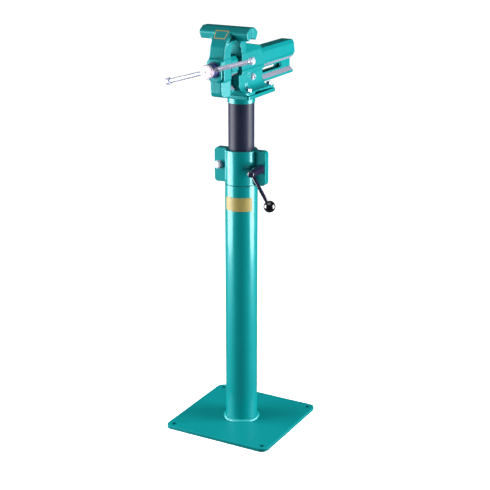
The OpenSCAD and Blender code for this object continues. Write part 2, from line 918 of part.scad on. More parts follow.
module vise_body() {
    spot_r = vise_bolt_d * washer_d_share / 2 + spot_gap;
    color(paint) difference() {
        union() {
            body_lower();
            body_band();
            body_core();
            body_shoulder();
            rear_neck();
            across(jaw_w) translate([meet_y, 0]) head_outline();
        }
        along(body_front_y - over, shoulder_rear_y + over) bar_section(slide_gap, 0);
        difference() {
            across(4 * flange_hw) polygon([
                [relief_front, foot_z - over], [relief_front, foot_z],
                [relief_front + relief_h, foot_z + relief_h],
                [relief_rear - relief_rear_h, foot_z + relief_rear_h],
                [relief_rear, foot_z], [relief_rear, foot_z - over]
            ]);
            at_vise_bolts(foot_z - 2 * over) cylinder(h = flange_t, r = pad_r);
        }
        at_vise_bolts(foot_z + flange_t) cylinder(h = side_fillet_r, r = spot_r);
        at_vise_bolts(foot_z - over) cylinder(h = flange_t + 2 * over, r = vise_bolt_d * hole_share / 2);
        translate([-body_hw - over, cross_y, cross_z]) rotate([0, 90, 0])
            cylinder(h = 2 * (body_hw + over), r = cross_bolt_d / 2);
    }
}

module vise_bolts() {
    washer_t = vise_bolt_d * washer_t_share;
    color(zinc) at_vise_bolts(foot_z + flange_t + washer_t)
        bolt(vise_bolt_d, flange_t + plate_t + washer_t - bolt_short);
}

module vise_washers() {
    color(zinc) at_vise_bolts(foot_z + flange_t) washer(vise_bolt_d);
}

// Threaded bushes let flush into the top plate
module vise_nuts() {
    color(zinc) at_vise_bolts(plate_z) difference() {
        cylinder(h = plate_t, r = vise_bolt_d * bush_r_share);
        translate([0, 0, -over]) cylinder(h = plate_t + 2 * over, r = vise_bolt_d / 2);
    }
}

module cross_bolt() {
    color(chrome) translate([body_hw, cross_y, cross_z]) rotate([0, 90, 0]) difference() {
        union() {
            shank(cross_bolt_d, 2 * body_hw + cross_bolt_d * (nut_h_share + end_share));
            rotate_extrude() polygon([
                [0, 0], [cross_head_r, 0], [cross_head_r, cross_head_land],
                [cross_head_top_r, cross_head_h], [0, cross_head_h]
            ]);
        }
        translate([0, 0, cross_head_h - cross_socket_depth])
            cylinder(h = cross_socket_depth + over, r = cross_socket_r, $fn = hex_sides);
    }
}

module cross_bolt_nut() {
    color(zinc) translate([-body_hw, cross_y, cross_z]) rotate([0, -90, 0]) nut(cross_bolt_d);
}

module spindle_nut() {
    tongue_low = cross_z - tongue_drop;
    color(steel) translate([0, cross_y, 0]) difference() {
        union() {
            translate([0, -nut_lead, spindle_z]) rotate([-90, 0, 0]) cylinder(h = nut_l, r = nut_r);
            translate([-tongue_hw, -tongue_l / 2, tongue_low])
                cube([2 * tongue_hw, tongue_l, spindle_z - tongue_low]);
        }
        translate([0, -nut_lead - over, spindle_z]) rotate([-90, 0, 0])
            cylinder(h = nut_l + 2 * over, r = spindle_d / 2 + run_gap);
        translate([-nut_r, 0, cross_z]) rotate([0, 90, 0])
            cylinder(h = 2 * nut_r, r = cross_bolt_d / 2);
    }
}

// Side outline of the apron as (y, z) shapes
module apron_side() {
    full_h = boss_low - apron_low + over;
    translate([apron_front + apron_r, apron_low])
        square([jaw_back_y - apron_rear_r - apron_front - apron_r, full_h]);
    translate([apron_front, apron_low + apron_r])
        square([jaw_back_y - apron_front, full_h - apron_r]);
    translate([apron_front + apron_r, apron_low + apron_r]) circle(apron_r);
    translate([jaw_back_y - apron_rear_r, apron_low + apron_rear_r]) circle(apron_rear_r);
    translate([jaw_back_y - apron_r, apron_low + apron_rear_r]) square(apron_r);
}

// Apron in front of the slide bar, narrower towards the front
module apron() {
    intersection() {
        across(2 * apron_hw) apron_side();
        translate([0, 0, apron_low]) linear_extrude(boss_top - apron_low) polygon(both_sides([
            [apron_nose_hw, apron_front], [apron_hw, jaw_back_y - apron_rear_r],
            [apron_hw - edge_break, jaw_back_y]
        ]));
    }
}

// Front jaw's neck: a rib up to the middle of the head, and flares under the head
module front_neck() {
    face_y = meet_y - jaw_gap / 2;
    flare_hw = neck_hw + neck_flare_r;
    flare_front = meet_y - head_t;
    intersection() {
        along(boss_y, meet_y) polygon(both_sides([
            [neck_hw, boss_low], [neck_hw, neck_high_z], [neck_top_hw, head_top]
        ]));
        across(2 * neck_top_hw) polygon([
            [neck_mid_front, boss_low], [jaw_back_y, boss_low], [jaw_back_y, neck_high_z],
            [meet_y - head_t * 0.57, head_low], [meet_y - head_t * 0.57, head_top - head_h * 0.3],
            [meet_y - head_t * 0.94, head_low + head_h * 0.66], [neck_top_front, neck_top_z],
            [neck_high_front, neck_high_z], [neck_mid_front, neck_mid_z]
        ]);
    }
    intersection() {
        along(boss_y, meet_y) neck_section(neck_hw, boss_low, head_low + edge_break);
        across(2 * flare_hw) polygon(concat(
            [
                [neck_high_front, boss_low], [jaw_back_y, boss_low], [jaw_back_y, throat_z]
            ],
            [for (p = throat_arc(jaw_back_y, throat_z, [0:15:90])) if (p[0] < face_y) p],
            [
                [face_y, head_low + head_h * 0.24], [flare_front, head_low + edge_break],
                [neck_high_front, neck_high_z]
            ]
        ));
        translate([0, 0, boss_low]) linear_extrude(head_top - boss_low) polygon(both_sides([
            [flare_hw, face_y], [flare_hw, meet_y - head_t * 0.8],
            [neck_hw + neck_flare_r * 0.4, flare_front - 2 * edge_break],
            [neck_hw, neck_top_front], [neck_hw, neck_mid_front]
        ]));
    }
}

// Boss round the spindle, with a recess on each side and cheeks behind it
module spindle_boss() {
    waist_low = boss_low + waist_low_up;
    along(cheek_front, jaw_back_y) polygon(both_sides([
        [cheek_hw - cheek_edge, boss_low + edge_break / 2], [cheek_hw, boss_low + cheek_edge],
        [cheek_hw, boss_top - 2 * cheek_edge], [neck_hw, boss_top]
    ]));
    difference() {
        along(boss_y + boss_edge, jaw_back_y) polygon(both_sides([
            [boss_hw - boss_chamfer, boss_low], [boss_hw, boss_low + boss_chamfer],
            [boss_hw, boss_top - boss_top_edge], [boss_hw - boss_top_edge, boss_top]
        ]));
        for (x = [0, 1])
            mirror([x, 0, 0]) translate([waist_hw, boss_y + boss_rim, waist_low])
                cube([boss_hw, cheek_set_back - boss_rim, waist_h]);
    }
    translate([0, boss_y, spindle_z]) rotate([-90, 0, 0]) cylinder(h = 2 * boss_edge, r = ring_r);
}

module front_jaw() {
    color(paint) difference() {
        union() {
            apron();
            spindle_boss();
            front_neck();
            across(jaw_w) translate([meet_y, 0]) mirror([1, 0]) head_outline();
        }
        translate([0, boss_y - over, spindle_z]) rotate([-90, 0, 0])
            cylinder(h = jaw_back_y - boss_y + 2 * over, r = spindle_d / 2 + run_gap);
    }
}

module spindle_ring() {
    color(dark_blue) translate([0, ring_face_y, spindle_z]) rotate([-90, 0, 0])
        tube(ring_r, spindle_d / 2 + run_gap, ring_t, edge_break);
}

module spindle() {
    head_r = spindle_head_d / 2;
    groove_r_in = head_r - head_groove_depth;
    body_r = head_r - edge_break;
    groove_end = head_rim + head_groove;
    tail = spindle_tail - head_front_y;
    color(chrome) difference() {
        translate([0, head_front_y, spindle_z]) rotate([-90, 0, 0]) rotate_extrude() polygon([
            [0, 0], [head_r - head_edge, 0], [head_r, head_edge], [head_r, head_rim],
            [groove_r_in, head_rim], [groove_r_in, groove_end], [body_r, groove_end],
            [body_r, spindle_head_l - edge_break], [body_r - edge_break, spindle_head_l],
            [spindle_d / 2, spindle_head_l], [spindle_d / 2, tail - spindle_tip],
            [spindle_d / 2 - spindle_tip, tail], [0, tail]
        ]);
        at_handle() cylinder(h = 2 * spindle_head_d, r = handle_d / 2 + run_gap, center = true);
    }
}

module spindle_retainer() {
    color(steel) translate([0, jaw_back_y + head_gap, spindle_z]) rotate([-90, 0, 0])
        tube(retainer_r, spindle_d / 2, retainer_h, edge_break);
}

// Moves children to the handle's middle, with z pointing along the bar
module at_handle() {
    translate([0, handle_y, spindle_z]) rotate([0, 90 - handle_tilt, 0]) children();
}

module handle_bar() {
    bar_l = handle_l - 2 * (handle_cap_l - handle_cap_depth);
    color(chrome) at_handle() cylinder(h = bar_l, r = handle_d / 2, center = true);
}

module handle_caps() {
    neck = handle_cap_r - edge_break;
    lip = handle_cap_l - handle_cap_lip;
    color(chrome) at_handle() for (end = [0, 1])
        mirror([0, 0, end]) translate([0, 0, handle_l / 2 - handle_cap_l]) difference() {
            rotate_extrude() polygon([
                [0, 0], [neck, 0], [handle_cap_r, edge_break], [handle_cap_r, lip - handle_cap_groove],
                [neck, lip - handle_cap_groove], [neck, lip], [handle_cap_r, lip],
                [handle_cap_r, handle_cap_l - edge_break], [neck, handle_cap_l], [0, handle_cap_l]
            ]);
            translate([0, 0, -over]) cylinder(h = handle_cap_depth + over, r = handle_d / 2);
        }
}

base_plate();
foot_weld();
column_tube();
name_plate();
guide_bush();
collar_rear_half();
collar_front_half();
collar_bolt();
collar_bolt_nut();
collar_washers();
clamp_stud();
lever_hub();
lever_arm();
ball_knob();
spring_foot();
spring_cylinder();
spring_gland();
spring_rod();
spring_piston();
bearing_lower_washer();
bearing_balls();
bearing_cage();
bearing_upper_washer();
mast_tube();
mast_plug();
mast_guide_ring();
cap_ring();
top_plate();
vise_body();
vise_bolts();
vise_washers();
vise_nuts();
cross_bolt();
cross_bolt_nut();
spindle_nut();
front_jaw();
slide_bar();
spindle_ring();
spindle();
spindle_retainer();
handle_bar();
handle_caps();
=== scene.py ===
"""Looks of the height-adjustable vise stand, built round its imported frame."""

import math

import bmesh
import bpy
import numpy as np
from bpy.props import FloatProperty, FloatVectorProperty, IntProperty, PointerProperty
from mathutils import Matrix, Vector


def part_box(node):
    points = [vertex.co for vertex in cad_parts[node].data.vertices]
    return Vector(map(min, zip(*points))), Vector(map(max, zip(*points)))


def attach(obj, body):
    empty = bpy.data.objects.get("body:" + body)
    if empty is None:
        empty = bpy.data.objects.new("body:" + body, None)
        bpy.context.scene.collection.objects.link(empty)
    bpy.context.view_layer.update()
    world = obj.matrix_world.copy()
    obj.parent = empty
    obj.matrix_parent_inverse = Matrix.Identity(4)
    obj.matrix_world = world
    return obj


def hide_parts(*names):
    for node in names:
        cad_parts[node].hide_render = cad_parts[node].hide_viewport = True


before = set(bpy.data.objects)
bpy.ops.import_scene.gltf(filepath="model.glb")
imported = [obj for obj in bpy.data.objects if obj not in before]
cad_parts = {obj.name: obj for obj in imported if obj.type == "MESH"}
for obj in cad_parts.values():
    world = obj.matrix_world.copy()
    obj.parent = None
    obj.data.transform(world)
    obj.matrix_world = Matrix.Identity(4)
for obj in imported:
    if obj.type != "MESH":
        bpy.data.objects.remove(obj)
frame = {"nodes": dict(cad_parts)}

bl_info = {
    "name": "Height-adjustable vise stand",
    "version": (1, 0, 0),
    "blender": (4, 5, 0),
    "location": "View3D > Sidebar > Vise stand",
    "description": "Finishes and detail pieces of a vise stand with a lifting, turning mast",
    "category": "Object",
}

MM = 0.001
NODES = frame["nodes"]
MATERIALS = {}

# Sizes are in millimetres down to the light and the camera, which are in metres.

# The collar's axes as rows: along its ears, through them, and up
COLLAR_TURN = math.radians(4)
COLLAR = np.array([
    [math.cos(COLLAR_TURN), math.sin(COLLAR_TURN), 0],
    [-math.sin(COLLAR_TURN), math.cos(COLLAR_TURN), 0],
    [0, 0, 1],
])

# Other directions: up, to the back of the stand, along the lever's arm and along the T-bar
UP, BACK = (0, 0, 1), (0, 1, 0)
ARM_DROP = math.radians(58)
ARM_AXIS = math.cos(ARM_DROP) * COLLAR[0] - math.sin(ARM_DROP) * COLLAR[2]
HANDLE_TILT = math.radians(16.4)
HANDLE_AXIS = (math.cos(HANDLE_TILT), 0, math.sin(HANDLE_TILT))

# Hexagon screws: flats, head height, thread depth and pitch as shares of the thread's diameter
FLATS_SHARE = 1.55
HEAD_SHARE = 0.65
DEPTH_SHARE = 0.055
PITCH_SHARE = 0.15

# Crown of a hexagon: its width as a share of the flats, its slope, and the share of it underneath
CROWN_SHARE = 0.96
CROWN_SLOPE = math.tan(math.radians(30))
UNDER_SHARE = 0.35

# Bores of washers and of the bushes in the top plate, as shares of their radius
WASHER_BORE = 1 / 2
BUSH_BORE = 5 / 8

# Weld at the foot: bite into the column, mesh rows and points a ripple, how full the bead is, and
# how deep and how bent its ripples are
WELD_BITE = 0.3
WELD_ROWS = 11
RIPPLE_POINTS = 8
BEAD_POWER = 1.15
RIPPLE_DEPTH = 0.6
RIPPLE_BEND = 1.1

# Bevelled plates: CAD node, body, finish, and bevel as a share of the plate edge's rounding
PLATES = (
    ("base_plate", "stand", "plate_paint_painted_shade", 1),
    ("collar_rear_half", "stand", "paint", 1.2),
    ("collar_front_half", "stand", "paint", 1.2),
    ("top_plate", "mast", "paint", 1),
    ("cap_ring", "mast", "paint", 0.5),
    ("cross_bolt", "mast", "chrome", 0.6),
)
BAR_BEVEL = 1.3

# Clamp lever: the hub's bore, land and taper, the play round the stud and the arm, the knob's bore,
# and depth and half width of the seam round the knob
HUB_BORE = 42
HUB_LAND = 6
HUB_TAPER = 9 / 13
STUD_PLAY = 0.05
ARM_PLAY = 0.02
KNOB_BORE = 6
KNOB_SEAM = (0.12, 0.35)

# T-bar: its play, the seat of its caps, and each cap's groove as depth and share of its length
BAR_PLAY = 0.02
CAP_SEAT = 8
CAP_GROOVE = ((0, 0.6), (0.9, 0.66), (0.9, 0.74), (0, 0.8))

# Spindle head, from the face back: its centre mark as radius and depth, then how far each row lies
# inside the head's radius and behind its face, the play to the ring behind it, how deep the head
# keeps its own bright colour, and the tone of the dark reflection painted on its neck
CENTRE_MARK = ((0, 1.5), (1.5, 0.5), (2.2, 0))
HEAD_ROWS = ((3.4, 0), (3.1, 0.25), (2.7, 0), (1.7, 0), (0, 1.7), (0, 6.6),
             (0.5, 7), (2, 7.1), (2, 9.4), (1.3, 9.6), (1, 10))
RING_PLAY = 0.3
PAINTED_REFLECTION_START = 10
PAINTED_REFLECTION_TONE = (0.02, 0.03, 0.13)

# Hole for the T-bar: its play, the drill's half length, how wide its mouths flare, and how far the
# flare starts outside and ends inside the head
HOLE_PLAY = 0.05
DRILL_REACH = 30
MOUTH_FLARE = 3
MOUTH_ENDS = (1.6, 0.6)

# Spindle: radius of its shaft, and start behind the ring, depth and flats of its thread
SPINDLE_RADIUS = 11
THREAD_START = 6
THREAD_DEPTH = 1.9
THREAD_FLAT = 0.24

# Bare faces of the guide bar: how far they lie from its middle, the heights of both over its foot,
# the blur of their edges, and the stretch of the ground lines
BAR_SIDES = (12.4, 24)
BAR_SLOPE = (6.8, 17.8)
BAR_RAIL = (38.2, 48.2)
BARE_BLUR = 0.2
GROUND_LINES = (60, 1600, 60)

# Label plate: glue, thickness, angle round the column, turn to the right, and corner radius
LABEL_GLUE = 0.2
LABEL_THICK = 0.8
LABEL_ANGLE = math.radians(104)
LABEL_TURN = math.radians(17)
LABEL_CORNER = 4
# Its face: the share of the thickness at each distance from the edge
LABEL_INSETS = (0, 0.3, 1.5, 1.9)
LABEL_SHARES = (0.8, 1, 1, 0.7)

# Bare frame on the front jaw: heights, widths at both heights, shift, line across, how far the
# lines along reach out and in, and blur
FRAME_HEIGHTS = (1105, 1123)
FRAME_WIDTHS = (30, 37)
FRAME_SHIFT = -2
FRAME_LINE = 1.7
FRAME_RAIL = (0.3, 1.19)
FRAME_BLUR = 0.05

# Painted shade in the seam under the collar: half its height, how dark it is, and its tone
SEAM_SHADE_LINE = 1.1
SEAM_SHADE_DEPTH = 0.85
SEAM_SHADE_TONE = (0, 0.004, 0.006, 1)

# Gripping faces: height, pitch and relief of the grooves, band round the meeting plane, and blur
GRIP_HEIGHT = 24
GRIP_PITCH = 2.2
GRIP_RELIEF = 4
GRIP_BAND = (-0.1, 0.6)
GRIP_BLUR = 0.1

# Tint of what the paint reflects head on, and the share of its brightness on the floor plate, a
# painted shade on the plate's copy of the paint
PAINT_SHEEN = (0.2, 0.9, 1, 1)
PLATE_PAINTED_SHADE = 0.8

# First colours of the effects' sockets
PAINTED = (0, 0.4, 0.4, 1)
METAL = (0.7, 0.7, 0.72, 1)

# Finish of each CAD node itself
NODE_FINISHES = {
    "paint": ("base_plate", "foot_weld", "column_tube", "collar_rear_half", "collar_front_half",
              "cap_ring", "top_plate"),
    "forging_paint": ("vise_body",),
    "jaw_paint": ("front_jaw",),
    "bar_paint": ("slide_bar",),
    "dark_coat": ("mast_tube", "spring_cylinder"),
    "polymer": ("guide_bush", "mast_guide_ring"),
    "brass_plate": ("name_plate",),
    "brass": ("bearing_cage",),
    "chrome": ("spring_rod", "bearing_balls", "handle_bar", "handle_caps", "spindle",
               "cross_bolt"),
    "steel": ("spring_foot", "spring_gland", "spring_piston", "bearing_lower_washer",
              "bearing_upper_washer", "mast_plug", "spindle_nut", "spindle_retainer"),
    "zinc": ("collar_bolt", "collar_bolt_nut", "collar_washers", "clamp_stud", "vise_bolts",
             "vise_washers", "vise_nuts", "cross_bolt_nut"),
    "black_metal": ("lever_hub", "lever_arm"),
    "black_plastic": ("ball_knob",),
    "blue_ring": ("spindle_ring",),
}

# Light: strength of the sky, and the lamps as name, turn from the camera and rise in degrees,
# distance, width and height, and power. They look at a point of the stand's axis.
SKY = 0.03
LIGHTS = (
    ("left_strip", -86, 2, 1.5, (1.3, 1.26), 82),
    ("right_strip", 80, 2, 1.5, (0.9, 1.26), 80),
    ("high_sun", -30, 74, 3.0, None, 1.7),
)
LIT_HEIGHT = 0.6
SUN_SPREAD = math.radians(60)

# Floor: its tone to the camera and to the rest of the scene, its glow, and the half width of the
# dark patch painted under the base plate as its shade
FLOOR_TONE = 0.9
FLOOR_BOUNCE = 0.03
FLOOR_GLOW = 0.6
UNDER_PLATE_SHADE = (0.146, 0.152)

# Camera: turn and rise, lens from a focal length and a picture width in pixels, shift, height and
# sideways step of the point it looks at, distance, and how far it sees
VIEW_TURN = math.radians(28.83)
VIEW_RISE = math.radians(17.24)
SENSOR = 36
LENS = 1227.4 / 490 * SENSOR
LENS_SHIFT = -0.04
VIEW_HEIGHT = 0.5794
VIEW_STEP = 0.00974
VIEW_DISTANCE = 3.358
VIEW_END = 200


# ------------ sizes and colours


class StandColours(bpy.types.PropertyGroup):
    """Colours of the stand's finishes."""

    paint: FloatVectorProperty(
        name="Paint", description="Turquoise coat of the stand and the vise",
        subtype="COLOR", size=3, min=0, max=1, default=(0.001, 0.176, 0.184))
    mast: FloatVectorProperty(
        name="Mast", description="Dark coat of the inner tube",
        subtype="COLOR", size=3, min=0, max=1, default=(0.013, 0.017, 0.036))
    label: FloatVectorProperty(
        name="Label plate", description="Gold tone of the plate on the column",
        subtype="COLOR", size=3, min=0, max=1, default=(0.26, 0.21, 0.07))
    ring: FloatVectorProperty(
        name="Spindle ring", description="Dark blue of the ring behind the spindle's head",
        subtype="COLOR", size=3, min=0, max=1, default=(0.004, 0.009, 0.075))
    frame: FloatVectorProperty(
        name="Gold frame", description="Thin bare frame on the front jaw",
        subtype="COLOR", size=3, min=0, max=1, default=(0.5, 0.28, 0.03))
    ground: FloatVectorProperty(
        name="Ground steel", description="Bare sliding faces of the guide bar",
        subtype="COLOR", size=3, min=0, max=1, default=(0.2, 0.195, 0.25))


class StandSizes(bpy.types.PropertyGroup):
    """Sizes of the detail that the looks add."""

    cast_voxel: FloatProperty(
        name="Forging grain", description="Cell that the forgings' edges are rounded with",
        subtype="DISTANCE", unit="LENGTH", min=0.001, max=0.003, default=0.0015)
    cast_rounds: IntProperty(
        name="Forging rounding", description="Smoothing steps on the forgings' edges",
        min=1, max=30, default=7)
    plate_bevel: FloatProperty(
        name="Plate edge", description="Rounding on the edges of the steel plates",
        subtype="DISTANCE", unit="LENGTH", min=0.0002, max=0.002, default=0.0008)
    spindle_lead: FloatProperty(
        name="Spindle lead", description="Advance of the spindle's thread in one turn",
        subtype="DISTANCE", unit="LENGTH", min=0.003, max=0.01, default=0.006)
    weld_ripples: IntProperty(
        name="Weld ripples", description="Ripples round the weld at the column's foot",
        min=20, max=160, default=84)
    floor_size: FloatProperty(
        name="Floor size", description="Half width of the pale floor",
        subtype="DISTANCE", unit="LENGTH", min=2, max=60, default=30)


# ------------ where the CAD nodes lie


def span(node):
    """Lowest and highest corner of a CAD node."""
    low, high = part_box(node)
    return np.array(low) / MM, np.array(high) / MM


def box_in(node, axes, chosen=None):
    """Lowest and highest corner of a CAD node, or of its chosen points, along three unit axes."""
    mesh = NODES[node].data
    points = np.empty(len(mesh.vertices) * 3)
    mesh.vertices.foreach_get("co", points)
    points = points.reshape(-1, 3) / MM
    if chosen is not None:
        points = points[chosen(points)]
    along = points @ np.asarray(axes).T
    return along.min(0), along.max(0)


def square_axes(axis, side):
    """Three unit axes as rows: the third is axis, and the first is side made square to it."""
    z = np.asarray(axis, float) / np.linalg.norm(axis)
    x = np.asarray(side, float) - z * np.dot(side, z)
    x /= np.linalg.norm(x)
    return np.stack([x, np.cross(z, x), z])


def axle(node, axis, side=(1, 0, 0), chosen=None):
    """Where a turned CAD node lies: the start of its axis, its axes, its length and its radius."""
    axes = square_axes(axis, side)
    low, high = box_in(node, axes, chosen)
    middle = (low + high) / 2
    start = np.array([middle[0], middle[1], low[2]]) @ axes
    return start, axes, high[2] - low[2], (high[0] - low[0]) / 2


def at(place, *grids):
    """Grids carried from local z to an axle's place."""
    origin, axes = place[:2]
    return [grid @ axes + origin for grid in grids]


def quarters(node, axes=np.eye(3)):
    """Four tests that pick the points of a node in each quarter round its middle."""
    low, high = box_in(node, axes)
    middle = (low + high) / 2

    def test(x_sign, y_sign):
        def chosen(points):
            x, y, _ = (points @ axes.T - middle).T
            return (x_sign * x > 0) & (y_sign * y > 0)
        return chosen

    return [test(x_sign, y_sign) for x_sign in (-1, 1) for y_sign in (-1, 1)]


# ------------ surfaces


def ring_angles(sides):
    """Angles u of a closed ring of points."""
    return np.arange(sides) * 2 * math.pi / sides


def around(r, u, z):
    """Points (r cos u, r sin u, z)."""
    return np.stack([r * np.cos(u), r * np.sin(u), z + 0 * u], -1)


def turned(profile, sides):
    """Surface of revolution: point (v, u) is (r(v) cos u, r(v) sin u, h(v)) for rows (r, h)."""
    r, h = np.asarray(profile, float).T
    return around(r[:, None], ring_angles(sides), h[:, None])


def softened(profile, cut, steps=4):
    """Profile with each inner corner C swapped for the curve (1-t)^2 A + 2t(1-t) C + t^2 B.

    A and B lie on the two legs, cut away from C, and never past a leg's middle.
    """
    p = np.asarray(profile, float)
    legs = np.linalg.norm(p[1:] - p[:-1], axis=1)
    near = np.minimum(cut, 0.45 * np.minimum(legs[:-1], legs[1:]))[:, None]
    a = p[1:-1] + (p[:-2] - p[1:-1]) / legs[:-1, None] * near
    b = p[1:-1] + (p[2:] - p[1:-1]) / legs[1:, None] * near
    t = np.linspace(0, 1, steps + 1)[None, :, None]
    bends = (1 - t) ** 2 * a[:, None] + 2 * t * (1 - t) * p[1:-1, None] + t ** 2 * b[:, None]
    return np.concatenate([p[:1], bends.reshape(-1, 2), p[-1:]])


def screw_thread(radius, depth, pitch, start, end, sides=40, steps=8, blunt=0.0):
    """Threaded rod: its radius falls by depth * w, w a triangle wave of (z / pitch - u / 2 pi).

    The wave fades in over one pitch at both ends, and blunt flattens its crests and roots.
    """
    rows = max(4, int((end - start) / pitch * steps))
    z = np.linspace(start, end, rows)[:, None]
    u = ring_angles(sides)
    wave = np.abs(((z / pitch - u / (2 * math.pi)) % 1) * 2 - 1)
    wave = np.clip((wave - blunt) / (1 - 2 * blunt), 0, 1)
    fade = np.clip(np.minimum(z - start, end - z) / pitch, 0, 1)
    return around(radius - depth * wave * fade, u, z)


def hexagon_rows(flats, height, bore, sides=96):
    """Hexagon head or nut: its side radius is flats / 2 / cos(u mod 60 - 30 degrees).

    A cone trims its corners at the top, and a lower one at the bottom.
    """
    u = ring_angles(sides)
    rim = flats / 2 / np.cos(u % (math.pi / 3) - math.pi / 6)
    crown = flats / 2 * CROWN_SHARE
    trim = (rim - crown) * CROWN_SLOPE
    return np.stack([around(r, u, z) for r, z in (
        (bore, 0), (crown, 0), (rim, trim * UNDER_SHARE), (rim, height - trim), (crown, height),
        (bore, height))])


def ring_rows(outer, bore, height, edge=0.6):
    """Closed profile of a ring with soft outer edges, as rows (r, h) from bore to bore."""
    inner = bore + edge / 2
    rows = softened([[inner, 0], [outer, 0], [outer, height], [inner, height]], edge)
    return np.concatenate([[[bore, 0]], rows, [[bore, height]]])


def tipped(grid):
    """Grid with its first end closed by a ring drawn in to its centre; its last end stays open."""
    tip = np.repeat(grid[:1].mean(1, keepdims=True), grid.shape[1], 1)
    return np.concatenate([tip, grid])


def raised(grid, height):
    """Grid moved along local z."""
    return grid + np.array([0, 0, height])


def hex_screw(place):
    """Grids of a screw whose hexagon head ends the axle: head, and threaded shank up to it."""
    length, corner = place[2:4]
    flats = corner * math.sqrt(3)
    diameter = flats / FLATS_SHARE
    seat = length - diameter * HEAD_SHARE
    shank = screw_thread(diameter / 2, diameter * DEPTH_SHARE, diameter * PITCH_SHARE, 0, seat,
                         sides=32, steps=6)
    return at(place, raised(hexagon_rows(flats, length - seat, 0), seat), tipped(shank))


def hex_nut(place):
    """Grid of a hexagon nut with both edges turned off and its bore open."""
    length, corner = place[2:4]
    flats = corner * math.sqrt(3)
    return at(place, hexagon_rows(flats, length, flats / FLATS_SHARE / 2))


def rings(node, parts, share, axis=UP, side=(1, 0, 0), sides=64):
    """Grid of a ring for each chosen part of a CAD node, its bore a share of its radius."""
    grids = []
    for part in parts:
        place = axle(node, axis, side, part)
        grids += at(place, turned(ring_rows(place[3], place[3] * share, place[2]), sides))
    return grids


# ------------ pieces


def weave_faces(rows, cols, closed):
    """Quads of a grid whose columns run round: cell (i, j) joins its four points.

    closed also joins the last row to the first.
    """
    i, j = np.meshgrid(np.arange(rows if closed else rows - 1), np.arange(cols), indexing="ij")
    below, k = (i + 1) % rows, (j + 1) % cols
    quads = [i * cols + j, i * cols + k, below * cols + k, below * cols + j]
    return np.stack(quads, -1).reshape(-1, 4)


def close_bmesh(bm):
    """Merges doubles, drops faces without area, and turns every face outwards."""
    bmesh.ops.remove_doubles(bm, verts=bm.verts, dist=1e-6)
    bmesh.ops.dissolve_degenerate(bm, edges=bm.edges, dist=1e-7)
    bmesh.ops.recalc_face_normals(bm, faces=bm.faces)


def piece_of(name, bm, body, look, crease=35.0):
    """Makes one smooth-shaded object of a bmesh, with edges sharper than crease kept sharp."""
    mesh = bpy.data.meshes.new(name)
    bm.to_mesh(mesh)
    bm.free()
    mesh.polygons.foreach_set("use_smooth", np.ones(len(mesh.polygons), bool))
    mesh.set_sharp_from_angle(angle=math.radians(crease))
    piece = bpy.data.objects.new(name, mesh)
    bpy.context.scene.collection.objects.link(piece)
    mesh.materials.append(MATERIALS[look])
    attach(piece, body)
    return piece


def piece_from(name, grids, body, look, node=None, closed=False, crease=35.0):
    """Makes one object from grids of points, in place of a CAD node if one is named.

    closed joins each grid's last row to its first.
    """
    bm = bmesh.new()
    for grid in grids:
        mesh = bpy.data.meshes.new(name)
        faces = weave_faces(*grid.shape[:2], closed)
        mesh.from_pydata((grid.reshape(-1, 3) * MM).tolist(), [], faces.tolist())
        bm.from_mesh(mesh)
        bpy.data.meshes.remove(mesh)
    close_bmesh(bm)
    piece = piece_of(name, bm, body, look, crease)
    if node:
        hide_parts(node)
    return piece


def merged_copy(node):
    """Bmesh of a CAD node with its loose triangles joined."""
    bm = bmesh.new()
    bm.from_mesh(NODES[node].data)
    close_bmesh(bm)
    return bm


def bake(piece):
    """Swaps a piece's mesh for what its modifiers make of it."""
    graph = bpy.context.evaluated_depsgraph_get()
    made = bpy.data.meshes.new_from_object(piece.evaluated_get(graph))
    old = piece.data
    piece.modifiers.clear()
    piece.data = made
    bpy.data.meshes.remove(old)


def forge(node, body, look, voxel, rounds):
    """Forging with soft edges: the solid is cut into cells, then points move to neighbours."""
    piece = piece_of(node + "_forged", merged_copy(node), body, look, crease=180.0)
    cells = piece.modifiers.new("cells", "REMESH")
    cells.mode = "VOXEL"
    cells.voxel_size = voxel
    cells.use_smooth_shade = True
    ease = piece.modifiers.new("ease", "SMOOTH")
    ease.factor = 0.5
    ease.iterations = rounds
    bake(piece)
    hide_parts(node)


def plate(node, body, look, bevel):
    """Steel plate or ring with its sharp edges rounded off."""
    bm = merged_copy(node)
    flat = math.radians(0.5)
    bmesh.ops.dissolve_limit(bm, angle_limit=flat, verts=bm.verts, edges=bm.edges)
    piece = piece_of(node + "_edged", bm, body, look)
    cut = piece.modifiers.new("edges", "BEVEL")
    cut.width = bevel
    cut.segments = 3
    cut.limit_method = "ANGLE"
    cut.angle_limit = math.radians(30)
    cut.harden_normals = True
    bake(piece)
    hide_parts(node)


# ------------ effects


def effect(name, inputs, outputs):
    """Empty shader node group; a socket's kind follows its first value, or its label Colour.

    Returns its tree, the sockets that it is given and the sockets that it puts out.
    """
    tree = bpy.data.node_groups.new(name, "ShaderNodeTree")
    kinds = {3: "NodeSocketVector", 4: "NodeSocketColor"}
    for label, first in inputs.items():
        kind = kinds[len(first)] if isinstance(first, tuple) else "NodeSocketFloat"
        socket = tree.interface.new_socket(label, in_out="INPUT", socket_type=kind)
        socket.default_value = first
    for label in outputs:
        kind = "NodeSocketColor" if label == "Colour" else "NodeSocketFloat"
        tree.interface.new_socket(label, in_out="OUTPUT", socket_type=kind)
    given, out = (tree.nodes.new("NodeGroup" + way) for way in ("Input", "Output"))
    return tree, given.outputs, out.inputs


def feed(tree, target, value):
    """Links an input to a socket, or sets it to a value."""
    if isinstance(value, bpy.types.NodeSocket):
        tree.links.new(value, target)
    else:
        target.default_value = value


def put(tree, kind, inputs=(), **settings):
    """Adds a node, sets its attributes, and feeds its inputs from (value, input) pairs."""
    made = tree.nodes.new(kind)
    for key, value in settings.items():
        setattr(made, key, value)
    for value, target in inputs:
        feed(tree, made.inputs[target], value)
    return made


